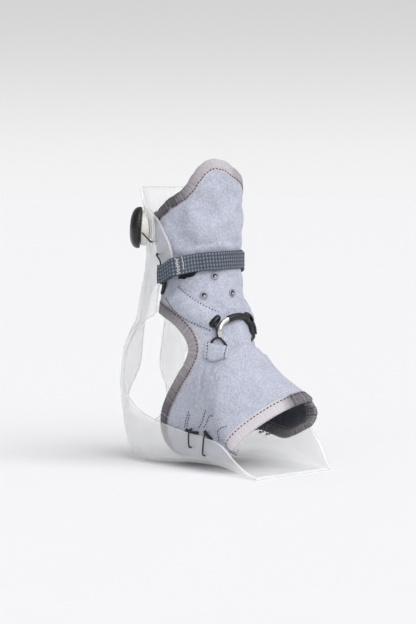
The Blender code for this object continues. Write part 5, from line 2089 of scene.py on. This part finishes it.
@dataclass
class Studio:
    """Camera at the photograph's angle, pale floor and soft light."""

    azimuth: float = 47.0
    distance: float = 1.6
    target: tuple = (50.0, 2.0, 126.0)
    camera_height: float = 225.0 * MM
    focal_pixels: float = 1920.0
    picture_height: int = 624
    sensor: float = 36.0
    room: float = 0.38
    lamps: tuple = (("key", 2.5, 42.0, 42.0, 65.0), ("fill", 0.35, 60.0, -20.0, 60.0))

    def camera(self) -> None:
        """Add the camera and make it the scene's."""
        target = np.array(self.target) * MM - ORIGIN
        e = math.atan((self.camera_height - self.target[2] * MM) / self.distance)
        a = math.radians(self.azimuth)
        toward = Vector((math.sin(a) * math.cos(e), -math.cos(a) * math.cos(e), math.sin(e)))
        data = bpy.data.cameras.new("camera")
        data.sensor_fit = "VERTICAL"
        data.sensor_width = data.sensor_height = self.sensor
        data.lens = self.focal_pixels / self.picture_height * self.sensor
        data.clip_start, data.clip_end = 0.1, 100.0
        camera = bpy.data.objects.new("camera", data)
        bpy.context.scene.collection.objects.link(camera)
        camera.location = Vector(target) + toward * self.distance
        camera.rotation_euler = (-toward).to_track_quat("-Z", "Y").to_euler()
        bpy.context.scene.camera = camera

    def light(self) -> None:
        """Add the pale room and two wide soft lamps."""
        world = bpy.data.worlds.new("studio")
        bpy.context.scene.world = world
        world.use_nodes = True
        tree = world.node_tree
        ground = tree.nodes["Background"]
        ground.inputs["Color"].default_value = (0.97, 0.97, 1.0, 1.0)
        ground.inputs["Strength"].default_value = self.room
        way = add_node(tree, "ShaderNodeTexCoord").outputs["Generated"]
        height = add_node(tree, "ShaderNodeSeparateXYZ", {}, {0: way}).outputs["Z"]
        fall = add_node(tree, "ShaderNodeMapRange", {"From Min": 0.0, "From Max": 0.11, "To Min": 0.905,
                                                     "To Max": 0.66, "interpolation_type": "SMOOTHSTEP"},
                        {"Value": height})
        seen = add_node(tree, "ShaderNodeBackground", {"Color": (0.99, 0.99, 1.0, 1.0)},
                        {"Strength": fall.outputs[0]})
        ray = add_node(tree, "ShaderNodeLightPath")
        add_node(tree, "ShaderNodeMixShader", {}, {0: ray.outputs["Is Camera Ray"], 1: ground.outputs[0],
                                                   2: seen.outputs[0]},
                 {0: tree.nodes["World Output"].inputs["Surface"]})
        for name, strength, tilt, turn, spread in self.lamps:
            sun = bpy.data.lights.new(name, "SUN")
            sun.energy, sun.angle = strength, math.radians(spread)
            lamp = bpy.data.objects.new(name, sun)
            bpy.context.scene.collection.objects.link(lamp)
            lamp.rotation_euler = (math.radians(tilt), 0.0, math.radians(self.azimuth + turn))
        bpy.context.scene.view_settings.view_transform = "Standard"

    def floor(self) -> None:
        """Add the pale floor."""
        mesh = bpy.data.meshes.new("floor")
        work = bmesh.new()
        bmesh.ops.create_grid(work, x_segments=8, y_segments=8, size=60.0)
        work.to_mesh(mesh)
        work.free()
        floor = bpy.data.objects.new("floor", mesh)
        bpy.context.scene.collection.objects.link(floor)
        mesh.materials.append(FLOOR.material())


def main() -> None:
    """Build the brace piece by piece."""
    logging.basicConfig(level=logging.INFO, format="%(message)s")
    studio = Studio()
    studio.camera()
    studio.light()
    studio.floor()
    dial, strap = WindingDial(), ShinStrap()
    Lacing().build(dial, strap)
    TieCords().build()
    ClearShell().build()
    bindings = Bindings()
    mouth = bindings.far_edge()
    PaddedWrap(mouth=mouth).build()
    bindings.build(mouth)
    for side, turn in (("near", 1.0), ("far", -1.0)):
        SewnPatch("lace_sleeve_" + side, "sleeve_" + side, SLEEVE, turn, 4.0).build()
        SewnPatch("instep_tab_" + side, "tab_" + side, TAB, turn, 0.3, 30, 24, 0.12, True).build()
    strap.build()
    dial.build()
    Eyelets().build()
    LaceGuide().build()
    CordAnchors().build()
    LOG.info("brace: all pieces built")


if __name__ == "__main__":
    main()
